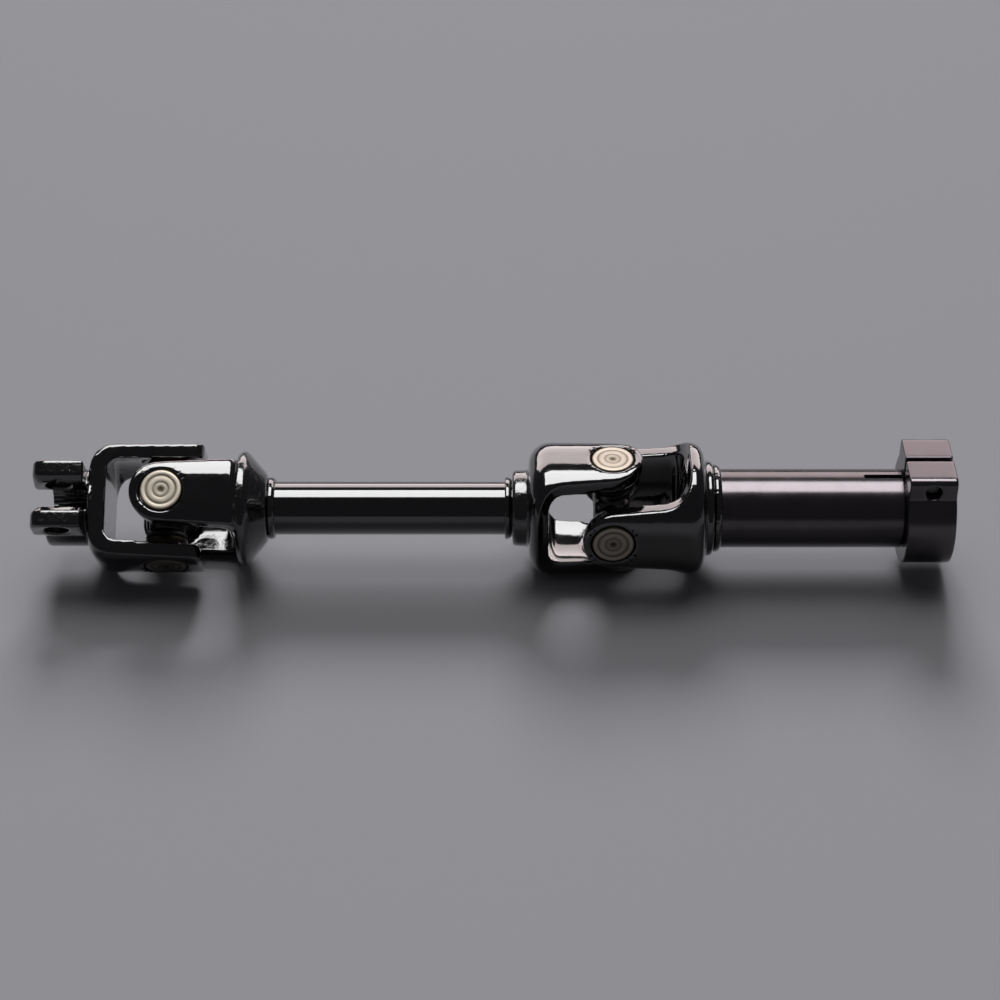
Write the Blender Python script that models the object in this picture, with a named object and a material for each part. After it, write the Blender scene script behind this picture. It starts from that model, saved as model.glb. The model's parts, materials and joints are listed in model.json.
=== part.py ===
"""Intermediate steering shaft with two needle-bearing universal joints, a pinch-clamp yoke and a split socket.

The shaft lies along X. Metres, +Z up. Each joint has its own roll about X, and each moving body has an
empty at its joint centre that carries its pieces.
"""

import math

import bmesh
import bpy
from mathutils import Matrix

# Whole shaft
JOINT_SPAN = 0.1582
LEFT_ROLL = math.radians(36.1)
RIGHT_ROLL = 0.0
ROD_RADIUS = 0.0095
FIT = 0.0003
OVERLAP = 0.001
REACH = 0.060

# Section that the four yokes share
YOKE_HALF = 0.0222
YOKE_CORNER = 0.0187
ARM_THICKNESS = 0.0050
ARM_HOLLOW = 0.0300
FLARE_RADIUS = 0.0100
THROAT_FILLET = 0.0040
BOSS_WIDTH = 0.0021
BOSS_HEIGHT = 0.0015

# Bearing cups, needles and seals
CUP_RADIUS = 0.0075
CUP_WALL = 0.0010
CUP_END_WALL = 0.0012
CUP_LENGTH = 0.0096
CUP_RECESS = 0.0004
CUP_EDGE = 0.0006
CUP_DISH_RADIUS = 0.0046
CUP_DISH_DEPTH = 0.0005
NEEDLE_DIAMETER = 0.0019
SEAL_FLANGE = 0.0022
SEAL_LIP = 0.0009

# Crosses
HUB_HALF_THICKNESS = 0.0062
HUB_HALF_WIDTH = 0.0074
SHOULDER_RADIUS = 0.0064
TRUNNION_CHAMFER = 0.0006

# Left shaft yoke: ring flange and cone
LEFT_THROAT = 0.0232
LEFT_ARM_END = 0.0113
LEFT_END_HALF = 0.0102
LEFT_BASE_HALF = 0.0124
LEFT_SHOULDER = 0.0034
LEFT_FLANGE_START = 0.0252
LEFT_FLANGE_WIDTH = 0.0048
LEFT_FLANGE_RADIUS = 0.0204
LEFT_FLANGE_EDGE = 0.0008
LEFT_CONE_LENGTH = 0.0060
LEFT_CONE_RADIUS = 0.0116

# Right shaft yoke: round shoulder and neck ring
RIGHT_THROAT = 0.0226
RIGHT_ARM_END = 0.0106
RIGHT_END_HALF = 0.0106
RIGHT_WAIST = 0.0170
RIGHT_WAIST_HALF = 0.0128
RIGHT_SHOULDER = 0.0080
RIGHT_BASE_END = 0.0297
RIGHT_NECK_LENGTH = 0.0057
RIGHT_NECK_RADIUS = 0.0136
NECK_EDGE = 0.0008
ROD_SEAT_FLOOR = 0.0033

# Weld beads
BEAD_LEG = 0.0021
BEAD_LOBES = 12
BEAD_RIPPLE = 0.0002

# Clamp yoke: split barrel with two ears
CLAMP_THROAT = 0.0208
CLAMP_ARM_END = 0.0130
CLAMP_END_HALF = 0.0095
CLAMP_END_FILLET = 0.0036
CLAMP_BASE_HALF = 0.0128
CLAMP_WAIST = 0.0126
CLAMP_WAIST_HALF = 0.0115
CLAMP_SHOULDER = 0.0084
CLAMP_BASE_END = 0.0270
BARREL_LENGTH = 0.0155
BARREL_RADIUS = 0.0136
BARREL_EDGE = 0.0007
CLAMP_BORE_RADIUS = 0.0085
SLIT_WIDTH = 0.0086
EAR_THICKNESS = 0.0081
EAR_HEIGHT = 0.0185
EAR_START = 0.0282
EAR_LENGTH = 0.0182
EAR_INNER_CHAMFER = 0.0026
EAR_OUTER_CHAMFER = 0.0010
EAR_END_FILLET = 0.0042
EAR_HOLE_RADIUS = 0.00425
EAR_HOLE_HEIGHT = 0.0122
EAR_HOLE_INSET = 0.0092

# Sleeve yoke: neck ring and stem inside the sleeve
SLEEVE_THROAT = 0.0254
SLEEVE_ARM_END = 0.0106
SLEEVE_END_HALF = 0.0106
SLEEVE_WAIST = 0.0175
SLEEVE_WAIST_HALF = 0.0128
SLEEVE_SHOULDER = 0.0049
SLEEVE_BASE_END = 0.0328
SLEEVE_NECK_LENGTH = 0.0032
SLEEVE_NECK_RADIUS = 0.0170
STEM_LENGTH = 0.0110
STEM_WALL = 0.0030

# Sleeve and its socket
SLEEVE_LENGTH = 0.0839
SLEEVE_RADIUS = 0.0140
SLEEVE_WALL = 0.0032
SLEEVE_STEP = 0.0011
SOCKET_DEPTH = 0.0440
SOCKET_RADIUS = 0.0095
SOCKET_CHAMFER = 0.0008
SLOT_LENGTH = 0.0312
SLOT_WIDTH = 0.0022

# Clamp collar and its pinch bolt
COLLAR_LENGTH = 0.0169
COLLAR_RADIUS = 0.0194
COLLAR_BOSS_HALF = 0.0140
COLLAR_BOSS_TOP = 0.0215
COLLAR_EDGE = 0.0008
COLLAR_SPLIT = 0.0020
BOLT_RADIUS = 0.0025
BOLT_HEIGHT = 0.0165
BOLT_HEAD_RADIUS = 0.0041
BOLT_HEAD_HEIGHT = 0.0052
BOLT_SINK = 0.0005
BOLT_HEX_HALF = 0.0020
BOLT_HEX_DEPTH = 0.0026
BOLT_TIP_SINK = 0.0010
BOLT_TIP_CHAMFER = 0.0005

# Facets
CORNER_STEPS = 5
SHOULDER_STEPS = 4
FILLET_STEPS = 3
END_STEPS = 6
FLARE_STEPS = 3
HOLLOW_STEPS = 4
BORE_SEGMENTS = 24
CUP_SEGMENTS = 20
PIN_SEGMENTS = 16
ROUND_SEGMENTS = 36
SMALL_SEGMENTS = 16

# Values that the sizes above give
ARM_INNER = YOKE_HALF - ARM_THICKNESS
CUP_FACE = YOKE_HALF - CUP_RECESS
CUP_MOUTH = CUP_FACE - CUP_LENGTH
CUP_BORE = CUP_RADIUS - CUP_WALL
CUP_SEAT = CUP_RADIUS + FIT
CUP_FLOOR = CUP_FACE - CUP_END_WALL
NEEDLE_OUTER = CUP_BORE - FIT
NEEDLE_INNER = NEEDLE_OUTER - NEEDLE_DIAMETER
NEEDLE_COUNT = int(math.pi * (NEEDLE_OUTER + NEEDLE_INNER) / NEEDLE_DIAMETER)
TRUNNION_RADIUS = NEEDLE_INNER - FIT
TRUNNION_TIP = CUP_FLOOR - FIT
SEAL_TOP = CUP_MOUTH - FIT
SEAL_BOTTOM = SEAL_TOP - SEAL_FLANGE
SHOULDER_FACE = SEAL_BOTTOM - FIT
NEEDLE_START = CUP_MOUTH + SEAL_LIP + FIT
ROD_BORE = ROD_RADIUS + FIT
LEFT_NECK_END = LEFT_FLANGE_START + LEFT_FLANGE_WIDTH + LEFT_CONE_LENGTH
RIGHT_NECK_END = RIGHT_BASE_END + RIGHT_NECK_LENGTH
SLEEVE_START = SLEEVE_BASE_END + SLEEVE_NECK_LENGTH + FIT
SLEEVE_END = SLEEVE_START + SLEEVE_LENGTH
SLEEVE_BORE = SLEEVE_RADIUS - SLEEVE_WALL
STEM_RADIUS = SLEEVE_BORE - FIT
SEAT_RADIUS = SLEEVE_RADIUS - SLEEVE_STEP
COLLAR_START = SLEEVE_END - COLLAR_LENGTH
COLLAR_BORE = SEAT_RADIUS + FIT
BOLT_HOLE = BOLT_RADIUS + FIT
BOLT_MIDDLE = COLLAR_START + COLLAR_LENGTH / 2
HEAD_TOP = COLLAR_BOSS_HALF - BOLT_SINK
HEAD_SEAT = HEAD_TOP - BOLT_HEAD_HEIGHT
BARREL_END = CLAMP_BASE_END + BARREL_LENGTH
EAR_END = EAR_START + EAR_LENGTH
EAR_OUTER = SLIT_WIDTH / 2 + EAR_THICKNESS
LEFT_END = -EAR_END
RIGHT_END = JOINT_SPAN + SLEEVE_END
LEFT_CENTRE = -(LEFT_END + RIGHT_END) / 2
RIGHT_CENTRE = LEFT_CENTRE + JOINT_SPAN

FINISHES = {
    "black_paint": ("#141416", 0.0, 0.28),
    "dark_steel": ("#4B4A4C", 1.0, 0.38),
    "cup_steel": ("#C9C4B6", 1.0, 0.32),
    "ground_steel": ("#9A9A9C", 1.0, 0.22),
    "rubber": ("#1C1C1D", 0.0, 0.85),
}


def linear(channel):
    """One sRGB channel as linear light."""
    if channel <= 0.04045:
        return channel / 12.92
    return ((channel + 0.055) / 1.055) ** 2.4


def make_material(name):
    """A Principled material from the table of finishes."""
    code, metallic, roughness = FINISHES[name]
    channels = [int(code[i : i + 2], 16) / 255 for i in (1, 3, 5)]
    colour = [linear(c) for c in channels] + [1.0]
    material = bpy.data.materials.new(name)
    material.use_nodes = True
    material.diffuse_color = colour
    shader = material.node_tree.nodes["Principled BSDF"]
    shader.inputs["Base Color"].default_value = colour
    shader.inputs["Metallic"].default_value = metallic
    shader.inputs["Roughness"].default_value = roughness
    return material


def clear_scene():
    for obj in list(bpy.data.objects):
        bpy.data.objects.remove(obj)


def loft(sections):
    """A closed solid through rings of points, each ring as (x, y, z) corners in the same turn."""
    bm = bmesh.new()
    rings = [[bm.verts.new(point) for point in section] for section in sections]
    count = len(rings[0])
    for low, high in zip(rings, rings[1:]):
        for i in range(count):
            j = (i + 1) % count
            bm.faces.new((low[i], low[j], high[j], high[i]))
    bm.faces.new(rings[0])
    bm.faces.new(rings[-1])
    bmesh.ops.recalc_face_normals(bm, faces=bm.faces)
    return bm


def turned(profile, segments, ring=False, ripple=None):
    """A solid of revolution about X from (x, radius) points. A ring's profile closes on itself."""
    bm = bmesh.new()
    columns = []
    for i in range(segments):
        angle = 2 * math.pi * (i + 0.5) / segments
        swell = ripple(angle) if ripple else 0.0
        column = []
        for k, (x, radius) in enumerate(profile):
            r = radius + (swell if k >= len(profile) - 2 else 0.0)
            column.append(bm.verts.new((x, r * math.cos(angle), r * math.sin(angle))))
        columns.append(column)
    last = len(profile) if ring else len(profile) - 1
    for i in range(segments):
        a = columns[i]
        b = columns[(i + 1) % segments]
        for k in range(last):
            m = (k + 1) % len(profile)
            bm.faces.new((a[k], a[m], b[m], b[k]))
    if not ring:
        bm.faces.new([column[0] for column in columns])
        bm.faces.new([column[-1] for column in columns])
    bmesh.ops.recalc_face_normals(bm, faces=bm.faces)
    return bm


def to_object(bm, name="tool", material=None):
    """An object from the bmesh, linked to the scene."""
    mesh = bpy.data.meshes.new(name)
    bm.to_mesh(mesh)
    bm.free()
    obj = bpy.data.objects.new(name, mesh)
    bpy.context.scene.collection.objects.link(obj)
    if material:
        mesh.materials.append(material)
    return obj


def combine(obj, tool, operation):
    """Joins the tool to the object, cuts it away or keeps what they share."""
    modifier = obj.modifiers.new(operation.lower(), "BOOLEAN")
    modifier.operation = operation
    modifier.solver = "EXACT"
    modifier.object = tool
    graph = bpy.context.evaluated_depsgraph_get()
    mesh = bpy.data.meshes.new_from_object(obj.evaluated_get(graph))
    obj.modifiers.clear()
    obj.data = mesh
    bpy.data.objects.remove(tool)


def moved(bm, matrix):
    bmesh.ops.transform(bm, matrix=matrix, verts=bm.verts)
    return bm


def pin(radius, start, end, axis, place=(0.0, 0.0, 0.0), segments=BORE_SEGMENTS):
    """A plain cylinder from start to end along X, Y or Z, its axis through the place."""
    turn = {
        "X": Matrix.Identity(4),
        "Y": Matrix.Rotation(math.pi / 2, 4, "Z"),
        "Z": Matrix.Rotation(-math.pi / 2, 4, "Y"),
    }[axis]
    bm = turned([(start, radius), (end, radius)], segments)
    return moved(bm, Matrix.Translation(place) @ turn)


def block(low, high):
    """A box between two corners."""
    (x0, y0, z0), (x1, y1, z1) = low, high
    sections = []
    for x in (x0, x1):
        sections.append([(x, y0, z0), (x, y1, z0), (x, y1, z1), (x, y0, z1)])
    return loft(sections)


def arc(centre, radius, start, end, steps):
    """Points on an arc, angles in degrees."""
    points = []
    for i in range(steps + 1):
        angle = math.radians(start + (end - start) * i / steps)
        points.append((centre[0] + radius * math.cos(angle), centre[1] + radius * math.sin(angle)))
    return points


def filleted(corner, before, after, radius, steps):
    """The round that replaces a corner between two neighbouring points."""
    ax, ay = before[0] - corner[0], before[1] - corner[1]
    bx, by = after[0] - corner[0], after[1] - corner[1]
    la, lb = math.hypot(ax, ay), math.hypot(bx, by)
    ax, ay, bx, by = ax / la, ay / la, bx / lb, by / lb
    half = math.acos(max(-1.0, min(1.0, ax * bx + ay * by))) / 2
    reach = radius / math.tan(half)
    mx, my = ax + bx, ay + by
    scale = radius / math.sin(half) / math.hypot(mx, my)
    cx, cy = corner[0] + mx * scale, corner[1] + my * scale
    first = math.atan2(corner[1] + ay * reach - cy, corner[0] + ax * reach - cx)
    second = math.atan2(corner[1] + by * reach - cy, corner[0] + bx * reach - cx)
    sweep = (second - first + math.pi) % (2 * math.pi) - math.pi
    return arc((cx, cy), radius, math.degrees(first), math.degrees(first + sweep), steps)


def rounded_square(half, corner):
    """The yoke section as (y, z) points."""
    inner = half - corner
    points = []
    for quarter, (sy, sz) in enumerate(((1, 1), (-1, 1), (-1, -1), (1, -1))):
        start = 90 * quarter
        points += arc((sy * inner, sz * inner), corner, start, start + 90, CORNER_STEPS)
    return points


def yoke_body(base_end, shoulder):
    """The solid outside of a yoke: the shared section, with a round shoulder at its base."""
    stations = [(-REACH, 0.0)]
    for i in range(SHOULDER_STEPS + 1):
        angle = math.pi / 2 * i / SHOULDER_STEPS
        stations.append((base_end - shoulder * (1 - math.sin(angle)), shoulder * (1 - math.cos(angle))))
    sections = []
    for x, inset in stations:
        outline = rounded_square(YOKE_HALF - inset, YOKE_CORNER - inset)
        sections.append([(x, y, z) for y, z in outline])
    return loft(sections)


def arm_side(side, end, end_half, end_fillet, waist, waist_half, flared):
    """One side of a yoke's plan from the round end of its arms to its waist, as (x, y) points.

    A flared side then leads out to the full section.
    """
    corner = (-end, side * end_half)
    points = filleted(corner, (-end, -side * end_half), (waist, side * waist_half), end_fillet, END_STEPS)
    if flared:
        outside = side * (YOKE_HALF + OVERLAP)
        centre = (waist, side * (waist_half + FLARE_RADIUS))
        points += arc(centre, FLARE_RADIUS, -90 * side, 0, FLARE_STEPS)
        points += [(waist + FLARE_RADIUS, outside), (REACH, outside)]
    else:
        points.append((waist, side * waist_half))
    return points


def throat_outline(throat, half):
    """The open fork between the arms, as (x, z) points, where the arms' inner faces are this far out."""
    corners = [(-REACH, -half), (throat, -half), (throat, half), (-REACH, half)]
    points = [corners[0]]
    points += filleted(corners[1], corners[0], corners[2], THROAT_FILLET, FILLET_STEPS)
    points += filleted(corners[2], corners[1], corners[3], THROAT_FILLET, FILLET_STEPS)
    points.append(corners[3])
    return points


def throat_cutter(throat):
    """What opens a fork. It is crowned, so that the arms' inner faces are hollow."""
    sections = []
    for i in range(HOLLOW_STEPS + 1):
        y = (YOKE_HALF + OVERLAP) * (2 * i / HOLLOW_STEPS - 1)
        half = ARM_INNER - ARM_HOLLOW + math.sqrt(ARM_HOLLOW**2 - y**2)
        sections.append([(x, y, z) for x, z in throat_outline(throat, half)])
    return loft(sections)


def make_fork(name, material, throat, base_end, shoulder, sides, base_pieces):
    """A yoke about its joint centre: base towards +X, arms on +Z and -Z, with cup bores and inner bosses."""
    yoke = to_object(yoke_body(base_end, shoulder), name, material)
    outline = sides[0] + sides[1][::-1]
    plan = loft([[(x, y, z) for x, y in outline] for z in (-REACH, REACH)])
    combine(yoke, to_object(plan), "INTERSECT")
    for piece in base_pieces:
        combine(yoke, to_object(piece), "UNION")
    combine(yoke, to_object(throat_cutter(throat)), "DIFFERENCE")
    for side in (-1, 1):
        boss = pin(
            CUP_SEAT + BOSS_WIDTH,
            side * (ARM_INNER - BOSS_HEIGHT),
            side * (ARM_INNER + ARM_THICKNESS / 3),
            "Z",
            segments=CUP_SEGMENTS,
        )
        combine(yoke, to_object(boss), "UNION")
        bore = pin(CUP_SEAT, side * TRUNNION_RADIUS, side * REACH, "Z", segments=CUP_SEGMENTS)
        combine(yoke, to_object(bore), "DIFFERENCE")
    return yoke


def make_left_yoke(material):
    """Ring flange and cone that carry the rod's left end."""
    base_end = LEFT_FLANGE_START + OVERLAP
    arm = (LEFT_ARM_END, LEFT_END_HALF, LEFT_END_HALF, base_end, LEFT_BASE_HALF)
    sides = [arm_side(side, *arm, flared=False) for side in (-1, 1)]
    flange_end = LEFT_FLANGE_START + LEFT_FLANGE_WIDTH
    neck = turned(
        [
            (LEFT_FLANGE_START, LEFT_FLANGE_RADIUS - LEFT_FLANGE_EDGE),
            (LEFT_FLANGE_START + LEFT_FLANGE_EDGE, LEFT_FLANGE_RADIUS),
            (flange_end - LEFT_FLANGE_EDGE, LEFT_FLANGE_RADIUS),
            (flange_end, LEFT_FLANGE_RADIUS - LEFT_FLANGE_EDGE),
            (LEFT_NECK_END, LEFT_CONE_RADIUS),
        ],
        ROUND_SEGMENTS,
    )
    yoke = make_fork("shaft_yoke_left", material, LEFT_THROAT, base_end, LEFT_SHOULDER, sides, [neck])
    seat = pin(ROD_BORE, LEFT_THROAT + ROD_SEAT_FLOOR, REACH, "X")
    combine(yoke, to_object(seat), "DIFFERENCE")
    return yoke


def make_right_yoke(material):
    """Round shoulder and neck ring that carry the rod's right end."""
    arm = (RIGHT_ARM_END, RIGHT_END_HALF, RIGHT_END_HALF, RIGHT_WAIST, RIGHT_WAIST_HALF)
    sides = [arm_side(side, *arm, flared=True) for side in (-1, 1)]
    neck = turned(
        [
            (RIGHT_BASE_END - OVERLAP, RIGHT_NECK_RADIUS),
            (RIGHT_NECK_END - NECK_EDGE, RIGHT_NECK_RADIUS),
            (RIGHT_NECK_END, RIGHT_NECK_RADIUS - NECK_EDGE),
        ],
        ROUND_SEGMENTS,
    )
    yoke = make_fork(
        "shaft_yoke_right", material, RIGHT_THROAT, RIGHT_BASE_END, RIGHT_SHOULDER, sides, [neck]
    )
    seat = pin(ROD_BORE, RIGHT_THROAT + ROD_SEAT_FLOOR, REACH, "X")
    combine(yoke, to_object(seat), "DIFFERENCE")
    return yoke


def ear_section(side, top):
    """One ear's (y, z) section, its top at this height along -Y, chamfered towards the slit and outside."""
    inner = SLIT_WIDTH / 2 - OVERLAP
    chamfer = EAR_INNER_CHAMFER + OVERLAP
    points = [
        (-CLAMP_BORE_RADIUS, inner),
        (-(top - chamfer), inner),
        (-top, inner + chamfer),
        (-top, EAR_OUTER - EAR_OUTER_CHAMFER),
        (-(top - EAR_OUTER_CHAMFER), EAR_OUTER),
        (0.0, EAR_OUTER),
    ]
    return [(y, side * z) for y, z in points]


def make_ear(side):
    """A pinch ear along the barrel, its far corner rounded."""
    stations = [(EAR_START, EAR_HEIGHT)]
    for i in range(FILLET_STEPS + 1):
        angle = math.pi / 2 * i / FILLET_STEPS
        x = EAR_END - EAR_END_FILLET * (1 - math.sin(angle))
        stations.append((x, EAR_HEIGHT - EAR_END_FILLET * (1 - math.cos(angle))))
    return loft([[(x, y, z) for y, z in ear_section(side, top)] for x, top in stations])


def make_clamp_yoke(material):
    """Split barrel with two pinch ears; the slit opens towards -Y of the yoke's own frame.

    The plan runs straight on the slit's side and flares on the other.
    """
    end = (CLAMP_ARM_END, CLAMP_END_HALF, CLAMP_END_FILLET)
    sides = [
        arm_side(-1, *end, CLAMP_BASE_END, CLAMP_BASE_HALF, flared=False),
        arm_side(1, *end, CLAMP_WAIST, CLAMP_WAIST_HALF, flared=True),
    ]
    barrel = turned(
        [
            (CLAMP_BASE_END - OVERLAP, BARREL_RADIUS),
            (BARREL_END - BARREL_EDGE, BARREL_RADIUS),
            (BARREL_END, BARREL_RADIUS - BARREL_EDGE),
        ],
        ROUND_SEGMENTS,
    )
    yoke = make_fork(
        "clamp_yoke",
        material,
        CLAMP_THROAT,
        CLAMP_BASE_END,
        CLAMP_SHOULDER,
        sides,
        [barrel, make_ear(1), make_ear(-1)],
    )
    slit = block((CLAMP_BASE_END, -REACH, -SLIT_WIDTH / 2), (REACH, 0.0, SLIT_WIDTH / 2))
    bore = pin(CLAMP_BORE_RADIUS, CLAMP_BASE_END, REACH, "X", segments=ROUND_SEGMENTS)
    hole_x = EAR_END - EAR_HOLE_INSET
    hole = pin(EAR_HOLE_RADIUS, -REACH, REACH, "Z", (hole_x, -EAR_HOLE_HEIGHT, 0.0), SMALL_SEGMENTS)
    for tool in (slit, bore, hole):
        combine(yoke, to_object(tool), "DIFFERENCE")
    return yoke


def make_sleeve_yoke(material):
    """Neck ring that the sleeve butts on, and the hollow stem inside the sleeve."""
    arm = (SLEEVE_ARM_END, SLEEVE_END_HALF, SLEEVE_END_HALF, SLEEVE_WAIST, SLEEVE_WAIST_HALF)
    sides = [arm_side(side, *arm, flared=True) for side in (-1, 1)]
    ring_end = SLEEVE_BASE_END + SLEEVE_NECK_LENGTH
    neck = turned(
        [
            (SLEEVE_BASE_END - OVERLAP, SLEEVE_NECK_RADIUS),
            (ring_end - NECK_EDGE, SLEEVE_NECK_RADIUS),
            (ring_end, SLEEVE_NECK_RADIUS - NECK_EDGE),
            (ring_end, STEM_RADIUS),
            (ring_end + STEM_LENGTH, STEM_RADIUS),
        ],
        ROUND_SEGMENTS,
    )
    yoke = make_fork(
        "sleeve_yoke", material, SLEEVE_THROAT, SLEEVE_BASE_END, SLEEVE_SHOULDER, sides, [neck]
    )
    hollow = pin(STEM_RADIUS - STEM_WALL, SLEEVE_BASE_END, REACH, "X")
    combine(yoke, to_object(hollow), "DIFFERENCE")
    return yoke


def make_sleeve(material):
    """Tube with a stepped end, a deeper socket bore and a slot on top."""
    step = COLLAR_START - FIT
    sleeve = to_object(
        turned(
            [
                (SLEEVE_START, SLEEVE_BORE),
                (SLEEVE_START, SLEEVE_RADIUS),
                (step, SLEEVE_RADIUS),
                (step, SEAT_RADIUS),
                (SLEEVE_END, SEAT_RADIUS),
                (SLEEVE_END, SOCKET_RADIUS + SOCKET_CHAMFER),
                (SLEEVE_END - SOCKET_CHAMFER, SOCKET_RADIUS),
                (SLEEVE_END - SOCKET_DEPTH, SOCKET_RADIUS),
                (SLEEVE_END - SOCKET_DEPTH, SLEEVE_BORE),
            ],
            ROUND_SEGMENTS,
            ring=True,
        ),
        "sleeve",
        material,
    )
    half = SLOT_WIDTH / 2
    round_x = SLEEVE_END - SLOT_LENGTH + half
    outline = arc((round_x, 0.0), half, 90, 270, FILLET_STEPS)
    outline += [(SLEEVE_END + OVERLAP, -half), (SLEEVE_END + OVERLAP, half)]
    slot = loft([[(x, y, z) for x, y in outline] for z in (0.0, REACH)])
    combine(sleeve, to_object(slot), "DIFFERENCE")
    return sleeve


def collar_outline(inset):
    """The collar's outside as (y, z) points: a ring with a square boss on top."""
    radius = COLLAR_RADIUS - inset
    half = COLLAR_BOSS_HALF - inset
    top = COLLAR_BOSS_TOP - inset
    meet = math.degrees(math.acos(half / radius))
    points = arc((0.0, 0.0), radius, 180 - meet, 360 + meet, ROUND_SEGMENTS // 2)
    points += [(half, top - COLLAR_EDGE), (half - COLLAR_EDGE, top)]
    points += [(COLLAR_EDGE - half, top), (-half, top - COLLAR_EDGE)]
    return points


def make_collar(material):
    """Split ring with a boss, a bolt hole and a counterbore for the bolt's head."""
    sections = []
    for x, inset in (
        (COLLAR_START, COLLAR_EDGE),
        (COLLAR_START + COLLAR_EDGE, 0.0),
        (SLEEVE_END - COLLAR_EDGE, 0.0),
        (SLEEVE_END, COLLAR_EDGE),
    ):
        sections.append([(x, y, z) for y, z in collar_outline(inset)])
    collar = to_object(loft(sections), "clamp_collar", material)
    place = (BOLT_MIDDLE, 0.0, BOLT_HEIGHT)
    head = BOLT_HEAD_RADIUS + FIT
    tools = [
        pin(COLLAR_BORE, -REACH, SLEEVE_END + REACH, "X", segments=ROUND_SEGMENTS),
        block((0.0, -COLLAR_SPLIT / 2, 0.0), (SLEEVE_END + REACH, COLLAR_SPLIT / 2, REACH)),
        pin(BOLT_HOLE, -REACH, REACH, "Y", place, SMALL_SEGMENTS),
        pin(head, HEAD_SEAT - FIT, REACH, "Y", place, SMALL_SEGMENTS),
    ]
    for tool in tools:
        combine(collar, to_object(tool), "DIFFERENCE")
    return collar


def make_bolt(material):
    """Pinch bolt along Y with a socket head on the far side."""
    tip = BOLT_TIP_SINK - COLLAR_BOSS_HALF
    bm = turned(
        [
            (tip, BOLT_RADIUS - BOLT_TIP_CHAMFER),
            (tip + BOLT_TIP_CHAMFER, BOLT_RADIUS),
            (HEAD_SEAT, BOLT_RADIUS),
            (HEAD_SEAT, BOLT_HEAD_RADIUS),
            (HEAD_TOP - BOLT_TIP_CHAMFER, BOLT_HEAD_RADIUS),
            (HEAD_TOP, BOLT_HEAD_RADIUS - BOLT_TIP_CHAMFER),
        ],
        SMALL_SEGMENTS,
    )
    place = Matrix.Translation((BOLT_MIDDLE, 0.0, BOLT_HEIGHT)) @ Matrix.Rotation(math.pi / 2, 4, "Z")
    bolt = to_object(moved(bm, place), "pinch_bolt", material)
    corner = BOLT_HEX_HALF / math.cos(math.pi / 6)
    middle = (BOLT_MIDDLE, 0.0, BOLT_HEIGHT)
    combine(bolt, to_object(pin(corner, HEAD_TOP - BOLT_HEX_DEPTH, REACH, "Y", middle, 6)), "DIFFERENCE")
    return bolt


def make_rod(material):
    """The solid rod, its ends in the two shaft yokes."""
    left = LEFT_THROAT + ROD_SEAT_FLOOR + FIT
    right = JOINT_SPAN - RIGHT_THROAT - ROD_SEAT_FLOOR - FIT
    return to_object(
        turned([(left, ROD_RADIUS), (right, ROD_RADIUS)], ROUND_SEGMENTS), "shaft_rod", material
    )


def make_bead(name, material, start, direction, radius):
    """A weld fillet round a shaft of this radius, from a neck face along the direction."""
    inner = radius + FIT
    profile = [
        (start, inner),
        (start + direction * BEAD_LEG, inner),
        (start + direction * BEAD_LEG * 0.72, inner + BEAD_LEG * 0.62),
        (start, inner + BEAD_LEG),
    ]
    bm = turned(
        profile,
        2 * BEAD_LOBES,
        ring=True,
        ripple=lambda angle: BEAD_RIPPLE * math.cos(BEAD_LOBES * (angle - math.pi / (2 * BEAD_LOBES))),
    )
    return to_object(bm, name, material)


def make_cross(name, material):
    """Forged cross: a hub, four stepped trunnions on Y and Z."""
    half = HUB_HALF_WIDTH
    edge = half * 0.3
    outline = []
    for sy, sz in ((1, 1), (-1, 1), (-1, -1), (1, -1)):
        near = [(sy * half, sz * (half - edge)), (sy * (half - edge), sz * half)]
        outline += near if sy * sz > 0 else near[::-1]
    sections = []
    for x, share in ((-1.0, 0.8), (-0.8, 1.0), (0.8, 1.0), (1.0, 0.8)):
        sections.append([(x * HUB_HALF_THICKNESS, y * share, z * share) for y, z in outline])
    cross = to_object(loft(sections), name, material)
    profile = [
        (TRUNNION_TIP, TRUNNION_RADIUS - TRUNNION_CHAMFER),
        (TRUNNION_TIP - TRUNNION_CHAMFER, TRUNNION_RADIUS),
        (SHOULDER_FACE, TRUNNION_RADIUS),
        (SHOULDER_FACE, SHOULDER_RADIUS),
    ]
    profile += [(-x, radius) for x, radius in reversed(profile)]
    for axis, turn in (("Z", math.pi / 2), ("Y", math.pi / 2)):
        bm = moved(turned(profile, PIN_SEGMENTS), Matrix.Rotation(turn, 4, axis))
        combine(cross, to_object(bm), "UNION")
    return cross


def make_cup(name, material):
    """Bearing cup along X, open towards the joint centre, with a dished end."""
    return to_object(
        turned(
            [
                (CUP_FLOOR, CUP_BORE),
                (CUP_MOUTH, CUP_BORE),
                (CUP_MOUTH, CUP_RADIUS),
                (CUP_FACE - CUP_EDGE, CUP_RADIUS),
                (CUP_FACE, CUP_RADIUS - CUP_EDGE),
                (CUP_FACE, CUP_DISH_RADIUS),
                (CUP_FACE - CUP_DISH_DEPTH, CUP_DISH_RADIUS - CUP_DISH_DEPTH),
            ],
            CUP_SEGMENTS,
        ),
        name,
        material,
    )


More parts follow.
